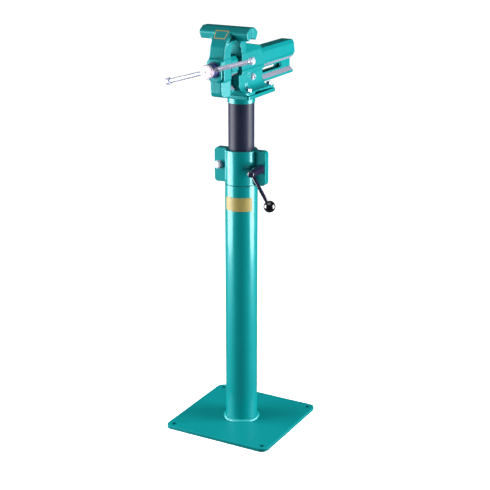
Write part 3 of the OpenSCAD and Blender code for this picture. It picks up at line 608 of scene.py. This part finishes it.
def own_place(tree):
    """The object's own coordinates: the vector, then its x, y and z."""
    where = put(tree, "ShaderNodeTexCoord").outputs["Object"]
    return where, *put(tree, "ShaderNodeSeparateXYZ", [(where, 0)]).outputs


def noise(tree, where, scale, detail=2.0):
    """Noise at a place."""
    return put(tree, "ShaderNodeTexNoise", [
        (where, "Vector"), (scale, "Scale"), (detail, "Detail")]).outputs["Fac"]


def stretched(tree, where, factors):
    """Place times a factor along each axis."""
    pairs = [(where, 0), (factors, 1)]
    return put(tree, "ShaderNodeVectorMath", pairs, operation="MULTIPLY").outputs[0]


def maths(tree, operation, *values):
    """One maths node; each value is a socket or a number."""
    pairs = [(value, index) for index, value in enumerate(values)]
    return put(tree, "ShaderNodeMath", pairs, operation=operation).outputs[0]


def ramp(tree, value, start, end, low=0.0, high=1.0):
    """Value moved from the range start to end into the range low to high."""
    pairs = [(value, 0), (start, 1), (end, 2), (low, 3), (high, 4)]
    return put(tree, "ShaderNodeMapRange", pairs).outputs[0]


def between(tree, value, low, high, blur):
    """Mask that is 1 where low < value < high, with blurred edges."""
    rise = ramp(tree, value, (low - blur) * MM, (low + blur) * MM)
    fall = ramp(tree, value, (high + blur) * MM, (high - blur) * MM)
    return maths(tree, "MULTIPLY", rise, fall)


def brightened(tree, tint, factor):
    """Colour with its brightness times a factor."""
    pairs = [(tint, "Color"), (factor, "Value")]
    return put(tree, "ShaderNodeHueSaturation", pairs).outputs[0]


def blend(tree, mask, first, second):
    """Mixes two colours by a mask; a colour is a socket or a value."""
    pairs = [(mask, 0), (first, 6), (second, 7)]
    return put(tree, "ShaderNodeMix", pairs, data_type="RGBA").outputs[2]


def put_out(tree, out, **values):
    """Links what an effect puts out."""
    for label, value in values.items():
        tree.links.new(value, out[label])


def put_out_skin(tree, given, out, swing, spread, height):
    """Links colour, roughness and height of a skin, the first two moved by swing."""
    tone = maths(tree, "MULTIPLY_ADD", swing, given["Tone change"], 1.0)
    put_out(tree, out, Colour=brightened(tree, given["Colour"], tone),
            Roughness=maths(tree, "MULTIPLY_ADD", swing, spread, given["Gloss"]), Height=height)


def coat_effect():
    """Sprayed coat: slow change of tone and gloss, and a fine orange-peel height."""
    tree, given, out = effect(
        "sprayed coat", {"Colour": PAINTED, "Grain": 700.0, "Gloss": 0.3, "Tone change": 0.08},
        ("Colour", "Roughness", "Height"))
    where = own_place(tree)[0]
    swing = maths(tree, "SUBTRACT", noise(tree, where, 14, 3), 0.5)
    put_out_skin(tree, given, out, swing, 0.12, noise(tree, where, given["Grain"]))
    return tree


def metal_effect():
    """Worked metal: fine lines drawn out by its grain, with blotches of tone and gloss."""
    tree, given, out = effect(
        "worked metal",
        {"Colour": METAL, "Grain": (900, 900, 40), "Gloss": 0.2, "Tone change": 0.1},
        ("Colour", "Roughness", "Height"))
    where = own_place(tree)[0]
    lines = noise(tree, stretched(tree, where, given["Grain"]), 1)
    blotches = noise(tree, where, 60, 4)
    swing = maths(tree, "SUBTRACT", maths(tree, "ADD", lines, blotches), 1.0)
    put_out_skin(tree, given, out, swing, 0.25, lines)
    return tree


def bare_effect():
    """Sliding faces ground bare: two bands of height on the guide bar's sides, with fine lines."""
    tree, given, out = effect(
        "ground bands", {"Colour": PAINTED, "Bare": METAL, "Roughness": 0.3},
        ("Colour", "Roughness"))
    where, x, _, z = own_place(tree)
    foot = span("slide_bar")[0][2]
    bands = [between(tree, z, foot + low, foot + high, BARE_BLUR)
             for low, high in (BAR_SLOPE, BAR_RAIL)]
    outside = between(tree, maths(tree, "ABSOLUTE", x), *BAR_SIDES, BARE_BLUR)
    mask = maths(tree, "MULTIPLY", maths(tree, "MAXIMUM", *bands), outside)
    lines = noise(tree, stretched(tree, where, GROUND_LINES), 1, 1)
    bare = brightened(tree, given["Bare"], maths(tree, "MULTIPLY_ADD", lines, 0.5, 0.75))
    put_out(tree, out, Colour=blend(tree, mask, given["Colour"], bare),
            Roughness=maths(tree, "MULTIPLY_ADD", mask, 0.12, given["Roughness"]))
    return tree


def frame_effect():
    """Bare gold frame on the front jaw: lines round a figure that widens with height."""
    tree, given, out = effect("gold frame", {"Colour": PAINTED, "Line": METAL}, ("Colour",))
    _, x, y, z = own_place(tree)
    low, high = FRAME_HEIGHTS
    reach_out, reach_in = FRAME_RAIL
    width = ramp(tree, z, low * MM, high * MM, *(wide / 2 * MM for wide in FRAME_WIDTHS))
    across = maths(tree, "ABSOLUTE", maths(tree, "SUBTRACT", x, FRAME_SHIFT * MM))
    side = maths(tree, "SUBTRACT", across, width)
    half = FRAME_LINE / 2 * MM
    whole = maths(tree, "MULTIPLY", maths(tree, "LESS_THAN", side, half),
                  between(tree, z, low - reach_out, high + reach_out, FRAME_BLUR))
    hollow = maths(tree, "MULTIPLY", maths(tree, "LESS_THAN", side, -half),
                   between(tree, z, low + reach_in, high - reach_in, FRAME_BLUR))
    front = maths(tree, "LESS_THAN", y, span("slide_bar")[0][1] * MM)
    mask = maths(tree, "MULTIPLY", maths(tree, "SUBTRACT", whole, hollow), front)
    put_out(tree, out, Colour=blend(tree, mask, given["Colour"], given["Line"]))
    return tree


def jaw_face_effect():
    """Gripping faces of the jaws: bare steel with crossed grooves, near their meeting plane."""
    tree, given, out = effect(
        "jaw faces", {"Colour": PAINTED, "Bare": METAL, "Height": 0.5}, ("Colour", "Height"))
    _, x, y, z = own_place(tree)
    meet, top = span("front_jaw")[1][1:]
    near = between(tree, y, *(meet + edge for edge in GRIP_BAND), GRIP_BLUR)
    high = maths(tree, "GREATER_THAN", z, (top - GRIP_HEIGHT) * MM)
    mask = maths(tree, "MULTIPLY", near, high)
    waves = [maths(tree, "PINGPONG", maths(tree, way, x, z), GRIP_PITCH / 2 * MM)
             for way in ("ADD", "SUBTRACT")]
    grooves = maths(tree, "MULTIPLY", maths(tree, "MINIMUM", *waves),
                    GRIP_RELIEF / (GRIP_PITCH * MM))
    put_out(tree, out, Colour=blend(tree, mask, given["Colour"], given["Bare"]),
            Height=maths(tree, "MULTIPLY_ADD", mask, grooves, given["Height"]))
    return tree


def collar_seam_shade_effect():
    """Painted shade: a dark line darkening the crease where the collar's lower edge meets the
    column.
    """
    tree, given, out = effect("collar seam painted shade", {"Colour": PAINTED}, ("Colour",))
    z = own_place(tree)[3]
    edge = span("collar_front_half")[0][2]
    line = between(tree, z, edge - SEAM_SHADE_LINE, edge + SEAM_SHADE_LINE, SEAM_SHADE_LINE / 2)
    dark = maths(tree, "MULTIPLY", line, SEAM_SHADE_DEPTH)
    put_out(tree, out, Colour=blend(tree, dark, given["Colour"], SEAM_SHADE_TONE))
    return tree


def painted_reflection_effect():
    """Painted dark reflection on the spindle head's neck, from behind its bright face to the ring.
    """
    tree, given, out = effect("painted reflection on spindle neck", {"Colour": METAL, "Blued": METAL}, ("Colour",))
    y = own_place(tree)[2]
    start = span("spindle")[0][1] + PAINTED_REFLECTION_START
    mask = ramp(tree, y, (start - 1) * MM, (start + 1) * MM)
    put_out(tree, out, Colour=blend(tree, mask, given["Colour"], given["Blued"]))
    return tree


# ------------ finishes


def finish(name, group, tint, grain, gloss, change, relief, **shine):
    """Material whose group feeds colour, roughness and a bump as deep as its relief.

    grain sets how fine its pattern is, gloss its mean roughness, and change how far its tone
    goes up and down. shine sets the shader's own sockets.
    """
    material = bpy.data.materials.new(name)
    material.use_nodes = True
    tree = material.node_tree
    tree.nodes.clear()
    skin = put(tree, "ShaderNodeGroup", node_tree=group)
    given = {"Colour": (*tint, 1), "Grain": grain, "Gloss": gloss, "Tone change": change}
    for label, value in given.items():
        skin.inputs[label].default_value = value
    bump = put(tree, "ShaderNodeBump", [
        (skin.outputs["Height"], "Height"), (1.0, "Strength"), (relief * MM, "Distance")])
    shader = put(tree, "ShaderNodeBsdfPrincipled", [
        (skin.outputs["Colour"], "Base Color"), (skin.outputs["Roughness"], "Roughness"),
        (bump.outputs[0], "Normal")])
    for label, value in shine.items():
        shader.inputs[label.replace("_", " ")].default_value = value
    put(tree, "ShaderNodeOutputMaterial", [(shader.outputs[0], "Surface")])
    MATERIALS[name] = material


def overlay(name, group, labels, **tints):
    """Puts one more group into a material, between its skin and what the skin feeds at labels."""
    tree = MATERIALS[name].node_tree
    layer = put(tree, "ShaderNodeGroup", node_tree=group)
    for label, tint in tints.items():
        layer.inputs[label].default_value = (*tint, 1)
    nodes = {node.bl_idname: node for node in tree.nodes}
    shader, bump = nodes["ShaderNodeBsdfPrincipled"], nodes["ShaderNodeBump"]
    targets = {"Colour": shader.inputs["Base Color"], "Roughness": shader.inputs["Roughness"],
               "Height": bump.inputs["Height"]}
    for label in labels:
        target = targets[label]
        tree.links.new(target.links[0].from_socket, layer.inputs[label])
        tree.links.new(layer.outputs[label], target)


class STAND_OT_finishes(bpy.types.Operator):
    """Make the stand's finishes: coats, plating, bare steel and plastics"""

    bl_idname = "vise_stand.finishes"
    bl_label = "Finishes"

    def execute(self, context):
        tones = context.scene.stand_colours
        coat, metal = coat_effect(), metal_effect()
        finish("paint", coat, tones.paint, grain=650, gloss=0.3, change=0.08, relief=0.04,
               Coat_Weight=0.35, Coat_Roughness=0.16, Specular_Tint=PAINT_SHEEN)
        # Darker copy of the paint for the floor plate: painted shade
        plate_painted_shade_tone = [PLATE_PAINTED_SHADE * part for part in tones.paint]
        finish("plate_paint_painted_shade", coat, plate_painted_shade_tone, grain=650, gloss=0.46, change=0.1, relief=0.05,
               Specular_IOR_Level=0.25, Specular_Tint=PAINT_SHEEN)
        for name in ("forging_paint", "jaw_paint", "bar_paint"):
            finish(name, coat, tones.paint, grain=420, gloss=0.4, change=0.14, relief=0.1,
                   Coat_Weight=0.12, Coat_Roughness=0.22, Specular_IOR_Level=0.4,
                   Specular_Tint=PAINT_SHEEN)
        finish("dark_coat", coat, tones.mast, grain=900, gloss=0.42, change=0.2, relief=0.03,
               Coat_Weight=0.03, Coat_Roughness=0.25, Specular_IOR_Level=0.12)
        finish("black_metal", coat, (0.007, 0.007, 0.026), grain=900, gloss=0.22, change=0.3,
               relief=0.03, Coat_Weight=0.5, Coat_Roughness=0.05)
        finish("black_plastic", coat, (0.003, 0.003, 0.006), grain=300, gloss=0.12, change=0.3,
               relief=0.01, Coat_Weight=0.5, Coat_Roughness=0.03)
        finish("blue_ring", coat, tones.ring, grain=600, gloss=0.3, change=0.2, relief=0.02,
               Coat_Weight=0.1, Coat_Roughness=0.15)
        finish("polymer", coat, (0.72, 0.7, 0.6), grain=800, gloss=0.45, change=0.06, relief=0.03)
        finish("chrome", metal, (0.54, 0.57, 0.73), grain=(60, 60, 60), gloss=0.24, change=0.02,
               relief=0.0003, Metallic=0.48)
        finish("spindle_steel", metal, (0.5, 0.42, 0.51), grain=(300, 60, 300), gloss=0.4,
               change=0.06, relief=0.0005, Metallic=0.35)
        finish("zinc", metal, (0.42, 0.44, 0.58), grain=(500, 500, 500), gloss=0.2, change=0.16,
               relief=0.002, Metallic=0.85)
        # Lighter copy of the zinc for the collar bolt: painted highlight on its face
        finish("zinc_painted_highlight", metal, (0.66, 0.68, 0.78), grain=(500, 500, 500), gloss=0.32,
               change=0.1, relief=0.001, Metallic=0.7)
        finish("steel", metal, (0.52, 0.52, 0.56), grain=(900, 60, 900), gloss=0.3, change=0.2,
               relief=0.01, Metallic=1.0)
        finish("brass_plate", metal, tones.label, grain=(60, 60, 1500), gloss=0.38, change=0.08,
               relief=0.002, Specular_IOR_Level=0.25)
        finish("brass", metal, (0.72, 0.55, 0.25), grain=(700, 700, 700), gloss=0.3, change=0.16,
               relief=0.006, Metallic=1.0)

        # Painted shade in the crease under the collar
        overlay("paint", collar_seam_shade_effect(), ("Colour",))
        overlay("bar_paint", bare_effect(), ("Colour", "Roughness"), Bare=tones.ground)
        faces = jaw_face_effect()
        for name in ("forging_paint", "jaw_paint"):
            overlay(name, faces, ("Colour", "Height"), Bare=tones.ground)
        overlay("jaw_paint", frame_effect(), ("Colour",), Line=tones.frame)
        # Painted reflection: dark blue on the spindle head's neck
        overlay("spindle_steel", painted_reflection_effect(), ("Colour",), Blued=PAINTED_REFLECTION_TONE)
        return {"FINISHED"}


class STAND_OT_kept_nodes(bpy.types.Operator):
    """Give every CAD node its finish"""

    bl_idname = "vise_stand.kept_nodes"
    bl_label = "Plates, tubes and inner parts"

    def execute(self, context):
        for name, nodes in NODE_FINISHES.items():
            for node in nodes:
                mesh = NODES[node].data
                mesh.materials.clear()
                mesh.materials.append(MATERIALS[name])
        return {"FINISHED"}


# ------------ stand


class STAND_OT_weld(bpy.types.Operator):
    """Lay the rippled weld between base plate and column"""

    bl_idname = "vise_stand.weld"
    bl_label = "Foot weld"

    def execute(self, context):
        """Bead: the fillet's bulge goes in and out with a bent sine, so ripples are crescents."""
        low, high = span("foot_weld")
        inner = span("column_tube")[1][0] - WELD_BITE
        count = context.scene.stand_sizes.weld_ripples
        v = np.linspace(0, 1, WELD_ROWS)[:, None]
        u = ring_angles(count * RIPPLE_POINTS)[None, :]
        across = np.sin(math.pi * v)
        wave = np.abs(np.sin(u * count / 2 + RIPPLE_BEND * across))
        ripple = RIPPLE_DEPTH * wave * across
        out, up = (side(v * math.pi / 2) ** BEAD_POWER for side in (np.cos, np.sin))
        r = inner + (high[0] - inner) * out - ripple
        z = low[2] + (high[2] - low[2]) * up - ripple / 2
        grid = np.concatenate([around(r, u, z), around(inner, u, low[2])])
        piece_from("foot_weld_bead", [grid], "stand", "paint", "foot_weld", True, crease=60)
        return {"FINISHED"}


class STAND_OT_plates(bpy.types.Operator):
    """Round the edges of the plates, the collar and the ring under the top plate"""

    bl_idname = "vise_stand.plates"
    bl_label = "Plates and collar"

    def execute(self, context):
        bevel = context.scene.stand_sizes.plate_bevel
        for node, body, look, share in PLATES:
            plate(node, body, look, bevel * share)
        return {"FINISHED"}


class STAND_OT_label(bpy.types.Operator):
    """Bend the bare label plate round the column, with a raised rim"""

    bl_idname = "vise_stand.label"
    bl_label = "Label plate"

    def execute(self, context):
        """Height over the column at (x, y): a share of the thickness by the distance to the edge.

        Each row is as wide as the round-cornered rectangle at its y, and x / r is its angle round
        the column.
        """
        low, high = span("name_plate")
        radius = span("column_tube")[1][0] + LABEL_GLUE
        half = np.array([LABEL_ANGLE * radius, high[2] - low[2]]) / 2
        y = half[1] * np.sin(np.linspace(-0.5, 0.5, 61) * math.pi)[:, None]
        cut = np.clip(np.abs(y) - half[1] + LABEL_CORNER, 0, LABEL_CORNER)
        corner = np.sqrt(np.maximum(LABEL_CORNER ** 2 - cut ** 2, 0.01))
        wide = half[0] - LABEL_CORNER + corner
        x = wide * np.sin(np.linspace(-0.5, 0.5, 121) * math.pi)[None, :]
        inset = np.minimum(wide - np.abs(x), half[1] - np.abs(y))
        front = LABEL_THICK * np.interp(inset, LABEL_INSETS, LABEL_SHARES)
        edge = np.full((1, x.shape[1]), LABEL_THICK / 2)
        height = np.concatenate([
            np.concatenate([face, back[:, ::-1]], 1)
            for face, back in ((edge, edge), (front, 0 * front), (edge, edge))])
        x = np.concatenate([x, x[:, ::-1]], 1)
        x, y = (np.concatenate([grid[:1], grid, grid[-1:]]) for grid in (x, y))
        angle = x / radius + LABEL_TURN - math.pi / 2
        grid = around(radius + height, angle, y + (low[2] + high[2]) / 2)
        piece_from("name_plate_bent", [grid], "stand", "brass_plate", "name_plate", crease=40)
        return {"FINISHED"}


class STAND_OT_screws(bpy.types.Operator):
    """Cut threads and hexagon heads on the screws, nuts, bushes and washers"""

    bl_idname = "vise_stand.screws"
    bl_label = "Screws, nuts and washers"

    def execute(self, context):
        ear, through = COLLAR[:2]
        bolts = [hex_screw(axle("vise_bolts", UP, chosen=part)) for part in quarters("vise_bolts")]
        rows = (
            ("vise_screws", "vise_bolts", "mast", "zinc", False, sum(bolts, [])),
            ("vise_rings", "vise_washers", "mast", "zinc", True,
             rings("vise_washers", quarters("vise_washers"), WASHER_BORE)),
            ("vise_bushes", "vise_nuts", "mast", "zinc", True,
             rings("vise_nuts", quarters("vise_nuts"), BUSH_BORE, sides=48)),
            ("cross_nut", "cross_bolt_nut", "mast", "zinc", True,
             hex_nut(axle("cross_bolt_nut", (-1, 0, 0), BACK))),
            # Collar bolt in the lighter zinc: painted highlight
            ("collar_screw", "collar_bolt", "stand", "zinc_painted_highlight", False,
             hex_screw(axle("collar_bolt", -through, ear))),
            ("clamp_screw", "clamp_stud", "stand", "zinc", False,
             hex_screw(axle("clamp_stud", through, ear))),
            ("collar_nut", "collar_bolt_nut", "stand", "zinc", True,
             hex_nut(axle("collar_bolt_nut", through, ear))),
            ("collar_rings", "collar_washers", "stand", "zinc", True,
             rings("collar_washers", quarters("collar_washers", COLLAR), WASHER_BORE, through,
                   ear)),
        )
        for name, node, body, look, closed, grids in rows:
            piece_from(name, grids, body, look, node, closed)
        return {"FINISHED"}


class STAND_OT_lever(bpy.types.Operator):
    """Turn the clamp lever's hub, arm and ball knob"""

    bl_idname = "vise_stand.lever"
    bl_label = "Clamp lever"

    def execute(self, context):
        hub = axle("lever_hub", -COLLAR[1], COLLAR[0])
        length, wide = hub[2:4]
        tip = wide * HUB_TAPER
        low, high = box_in("clamp_stud", COLLAR)
        bore = (high[0] - low[0]) * math.sqrt(3) / 4 / FLATS_SHARE + STUD_PLAY
        rows = softened([
            [bore + 0.8, 0], [wide, 0], [wide, HUB_LAND], [tip, length - 2.5],
            [tip - 2.6, length], [0, length]], 1.6, 6)
        rows = np.concatenate([[[0, HUB_BORE], [bore, HUB_BORE - 1], [bore, 0]], rows])
        piece_from("lever_hub_turned", at(hub, turned(rows, 96)), "clamp_lever", "black_metal",
                   "lever_hub", crease=50)

        arm = axle("lever_arm", ARM_AXIS, COLLAR[1])
        long, thick = arm[2:4]
        rows = softened([[0, 0], [thick, 0], [thick, long], [0, long]], 0.8, 3)
        piece_from("lever_arm_turned", at(arm, turned(rows, 64)), "clamp_lever", "black_metal",
                   "lever_arm")

        knob = axle("ball_knob", ARM_AXIS, COLLAR[1])
        ball = knob[3]
        centre = knob[2] - ball
        neck = math.sqrt(max(ball ** 2 - centre ** 2, 1))
        t = np.linspace(math.asin(neck / ball), math.pi, 40)
        depth, width = KNOB_SEAM
        seam = depth * np.exp(-(ball * np.cos(t) / width) ** 2)
        hole = thick + ARM_PLAY
        rows = np.concatenate([
            [[0, KNOB_BORE], [hole, KNOB_BORE], [hole, 0.5], [hole + 0.5, 0], [neck - 1, 0]],
            np.stack([ball * np.sin(t) - seam, centre - ball * np.cos(t)], -1)])
        piece_from("ball_knob_turned", at(knob, turned(rows, 96)), "clamp_lever", "black_plastic",
                   "ball_knob", crease=50)
        return {"FINISHED"}


# ------------ vise


class STAND_OT_handle(bpy.types.Operator):
    """Turn the T-bar and its end caps"""

    bl_idname = "vise_stand.handle"
    bl_label = "T-bar"

    def execute(self, context):
        bar = axle("handle_bar", HANDLE_AXIS, BACK)
        radius = bar[3] - BAR_PLAY
        rows = softened([[0, 0], [radius, 0], [radius, bar[2]], [0, bar[2]]], 0.8, 3)
        piece_from("handle_rod", at(bar, turned(rows, 72)), "handle", "chrome", "handle_bar")

        both = axle("handle_caps", HANDLE_AXIS, BACK)
        long, wide = (both[2] - bar[2]) / 2 + CAP_SEAT, both[3]
        rows = softened([
            [bar[3], 0], [wide - 1.2, 0], [wide, 1.4],
            *([wide - depth, long * share] for depth, share in CAP_GROOVE),
            [wide, long - 1.2], [wide - 1.6, long], [0, long]], 0.7, 4)
        cap = turned(np.concatenate([[[0, CAP_SEAT], [bar[3], CAP_SEAT]], rows]), 72)
        ends = at(both, raised(cap * np.array([1, -1, -1]), long), raised(cap, both[2] - long))
        piece_from("handle_ends", ends, "handle", "chrome", "handle_caps")
        return {"FINISHED"}


class STAND_OT_spindle(bpy.types.Operator):
    """Turn the spindle with its drilled head and its thread, the ring behind it and the retainer"""

    bl_idname = "vise_stand.spindle"
    bl_label = "Spindle"

    def execute(self, context):
        place = axle("spindle", BACK, UP)
        origin, _, length, wide = place
        ring = axle("spindle_ring", BACK, UP)
        ring_start = ring[0][1] - origin[1]
        head = ring_start - RING_PLAY
        end = ring_start + ring[2] + THREAD_START
        shaft = SPINDLE_RADIUS
        rows = softened([
            *CENTRE_MARK, *([wide - inset, back] for inset, back in HEAD_ROWS),
            [wide - 1, head - 1.2], [wide - 2.2, head], [shaft, head], [shaft, end], [0, end]],
            0.45, 3)
        piece = piece_from("spindle_head", at(place, turned(rows, 128)), "spindle",
                           "spindle_steel", crease=38)
        self.drill(piece, wide)
        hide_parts("spindle")

        lead = context.scene.stand_sizes.spindle_lead / MM
        thread = screw_thread(shaft - 0.02, THREAD_DEPTH, lead, end - 0.5, length, sides=48,
                              steps=14, blunt=THREAD_FLAT)
        piece_from("spindle_thread", at(place, tipped(thread)), "spindle", "steel")

        rows = ring_rows(ring[3], shaft + 0.05, ring[2], 1.0)
        piece_from("spindle_collar", at(ring, turned(rows, 96)), "front_jaw", "blue_ring",
                   "spindle_ring", True)
        stop = axle("spindle_retainer", BACK, UP)
        rows = ring_rows(stop[3], shaft, stop[2], 0.8)
        piece_from("spindle_stop", at(stop, turned(rows, 64)), "spindle", "steel",
                   "spindle_retainer", True)
        return {"FINISHED"}

    def drill(self, piece, wide):
        """Cuts the T-bar's hole with flared mouths through the head."""
        bar = axle("handle_bar", HANDLE_AXIS, BACK)
        bore = bar[3] + HOLE_PLAY
        mouth, half = bore + MOUTH_FLARE, math.sqrt(wide ** 2 - bore ** 2)
        rows = np.array([[0, DRILL_REACH], [mouth, DRILL_REACH], [mouth, half + MOUTH_ENDS[0]],
                         [bore, half - MOUTH_ENDS[1]]])
        rows = np.concatenate([rows * [1, -1], rows[::-1]]) + [0, bar[2] / 2]
        tool = piece_from("drill", at(bar, turned(rows, 96)), "spindle", "spindle_steel")
        cut = piece.modifiers.new("hole", "BOOLEAN")
        cut.object = tool
        cut.operation = "DIFFERENCE"
        cut.solver = "EXACT"
        bake(piece)
        piece.data.set_sharp_from_angle(angle=math.radians(38))
        bpy.data.objects.remove(tool)


class STAND_OT_forgings(bpy.types.Operator):
    """Round the edges of the vise's forgings and of the guide bar"""

    bl_idname = "vise_stand.forgings"
    bl_label = "Vise forgings"

    def execute(self, context):
        sizes = context.scene.stand_sizes
        forge("vise_body", "mast", "forging_paint", sizes.cast_voxel, sizes.cast_rounds)
        forge("front_jaw", "front_jaw", "jaw_paint", sizes.cast_voxel, sizes.cast_rounds)
        plate("slide_bar", "front_jaw", "bar_paint", sizes.plate_bevel * BAR_BEVEL)
        return {"FINISHED"}


# ------------ stage


def floor_finish():
    """Floor that the camera sees white, and that is dark to the rest, with painted shade under the
    base plate.
    """
    material = bpy.data.materials.new("pale_floor")
    material.use_nodes = True
    tree = material.node_tree
    shader = tree.nodes["Principled BSDF"]
    seen = put(tree, "ShaderNodeLightPath").outputs["Is Camera Ray"]
    _, x, y, _ = own_place(tree)
    # Painted shade: the floor turns dark and stops glowing under the base plate
    reach = maths(tree, "MAXIMUM", maths(tree, "ABSOLUTE", x), maths(tree, "ABSOLUTE", y))
    bright = maths(tree, "MULTIPLY", seen, ramp(tree, reach, *UNDER_PLATE_SHADE))
    dark, white = ((tone, tone, tone, 1) for tone in (FLOOR_BOUNCE, FLOOR_TONE))
    for value, target in (
            (blend(tree, bright, dark, white), "Base Color"), (0.9, "Roughness"),
            (0.1, "Specular IOR Level"),
            (maths(tree, "MULTIPLY", bright, FLOOR_GLOW), "Emission Strength")):
        feed(tree, shader.inputs[target], value)
    return material


def direction(turn, rise):
    """Unit vector away from the stand, by its turn from the front and its rise."""
    return Vector((math.sin(turn) * math.cos(rise), -math.cos(turn) * math.cos(rise),
                   math.sin(rise)))


def look_along(name, data, place, away):
    """Puts a lamp or a camera in its place, with its back to away."""
    thing = bpy.data.objects.new(name, data)
    thing.location = place
    thing.rotation_euler = away.to_track_quat("Z", "Y").to_euler()
    bpy.context.scene.collection.objects.link(thing)
    return thing


class STAND_OT_stage(bpy.types.Operator):
    """Set the pale floor, the soft lights and the camera"""

    bl_idname = "vise_stand.stage"
    bl_label = "Stage"

    def execute(self, context):
        scene = context.scene
        half = scene.stand_sizes.floor_size
        mesh = bpy.data.meshes.new("floor")
        corners = [(-half, -half, 0), (half, -half, 0), (half, half, 0), (-half, half, 0)]
        mesh.from_pydata(corners, [], [(0, 1, 2, 3)])
        mesh.materials.append(floor_finish())
        floor = bpy.data.objects.new("floor", mesh)
        scene.collection.objects.link(floor)

        world = bpy.data.worlds.new("studio")
        world.use_nodes = True
        tree = world.node_tree
        sky = tree.nodes["Background"]
        seen = put(tree, "ShaderNodeLightPath").outputs["Is Camera Ray"]
        feed(tree, sky.inputs["Color"], (1, 1, 1, 1))
        feed(tree, sky.inputs["Strength"], maths(tree, "MULTIPLY_ADD", seen, 1 - SKY, SKY))
        scene.world = world
        scene.view_settings.view_transform = "Standard"

        for name, turn, rise, distance, size, power in LIGHTS:
            light = bpy.data.lights.new(name, "AREA" if size else "SUN")
            if size:
                light.shape = "RECTANGLE"
                light.size, light.size_y = size
            else:
                light.angle = SUN_SPREAD
            light.energy = power
            away = direction(VIEW_TURN + math.radians(turn), math.radians(rise))
            look_along(name, light, Vector((0, 0, LIT_HEIGHT)) + away * distance, away)

        camera = bpy.data.cameras.new("camera")
        camera.lens = LENS
        camera.sensor_width = SENSOR
        camera.shift_y = LENS_SHIFT
        camera.clip_end = VIEW_END
        away = direction(VIEW_TURN, VIEW_RISE)
        right = Vector((math.cos(VIEW_TURN), math.sin(VIEW_TURN), 0))
        place = Vector((0, 0, VIEW_HEIGHT)) + right * VIEW_STEP + away * VIEW_DISTANCE
        scene.camera = look_along("camera", camera, place, away)
        return {"FINISHED"}


STEPS = (STAND_OT_finishes, STAND_OT_kept_nodes, STAND_OT_weld, STAND_OT_plates, STAND_OT_label,
         STAND_OT_screws, STAND_OT_lever, STAND_OT_handle, STAND_OT_spindle, STAND_OT_forgings,
         STAND_OT_stage)


class STAND_PT_panel(bpy.types.Panel):
    """Lists the stand's sizes, colours and steps"""

    bl_idname = "STAND_PT_panel"
    bl_label = "Vise stand"
    bl_space_type = "VIEW_3D"
    bl_region_type = "UI"
    bl_category = "Vise stand"

    def draw(self, context):
        for group in (context.scene.stand_sizes, context.scene.stand_colours):
            box = self.layout.box()
            for key in group.__annotations__:
                box.prop(group, key)
        for step in STEPS:
            self.layout.operator(step.bl_idname)


CLASSES = (StandColours, StandSizes, *STEPS, STAND_PT_panel)


def register():
    for cls in CLASSES:
        bpy.utils.register_class(cls)
    bpy.types.Scene.stand_colours = PointerProperty(type=StandColours)
    bpy.types.Scene.stand_sizes = PointerProperty(type=StandSizes)


def unregister():
    del bpy.types.Scene.stand_sizes
    del bpy.types.Scene.stand_colours
    for cls in reversed(CLASSES):
        bpy.utils.unregister_class(cls)


def main():
    """Runs every step in order."""
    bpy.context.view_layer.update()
    register()
    for step in STEPS:
        group, name = step.bl_idname.split(".")
        getattr(getattr(bpy.ops, group), name)()


if __name__ == "__main__":
    main()
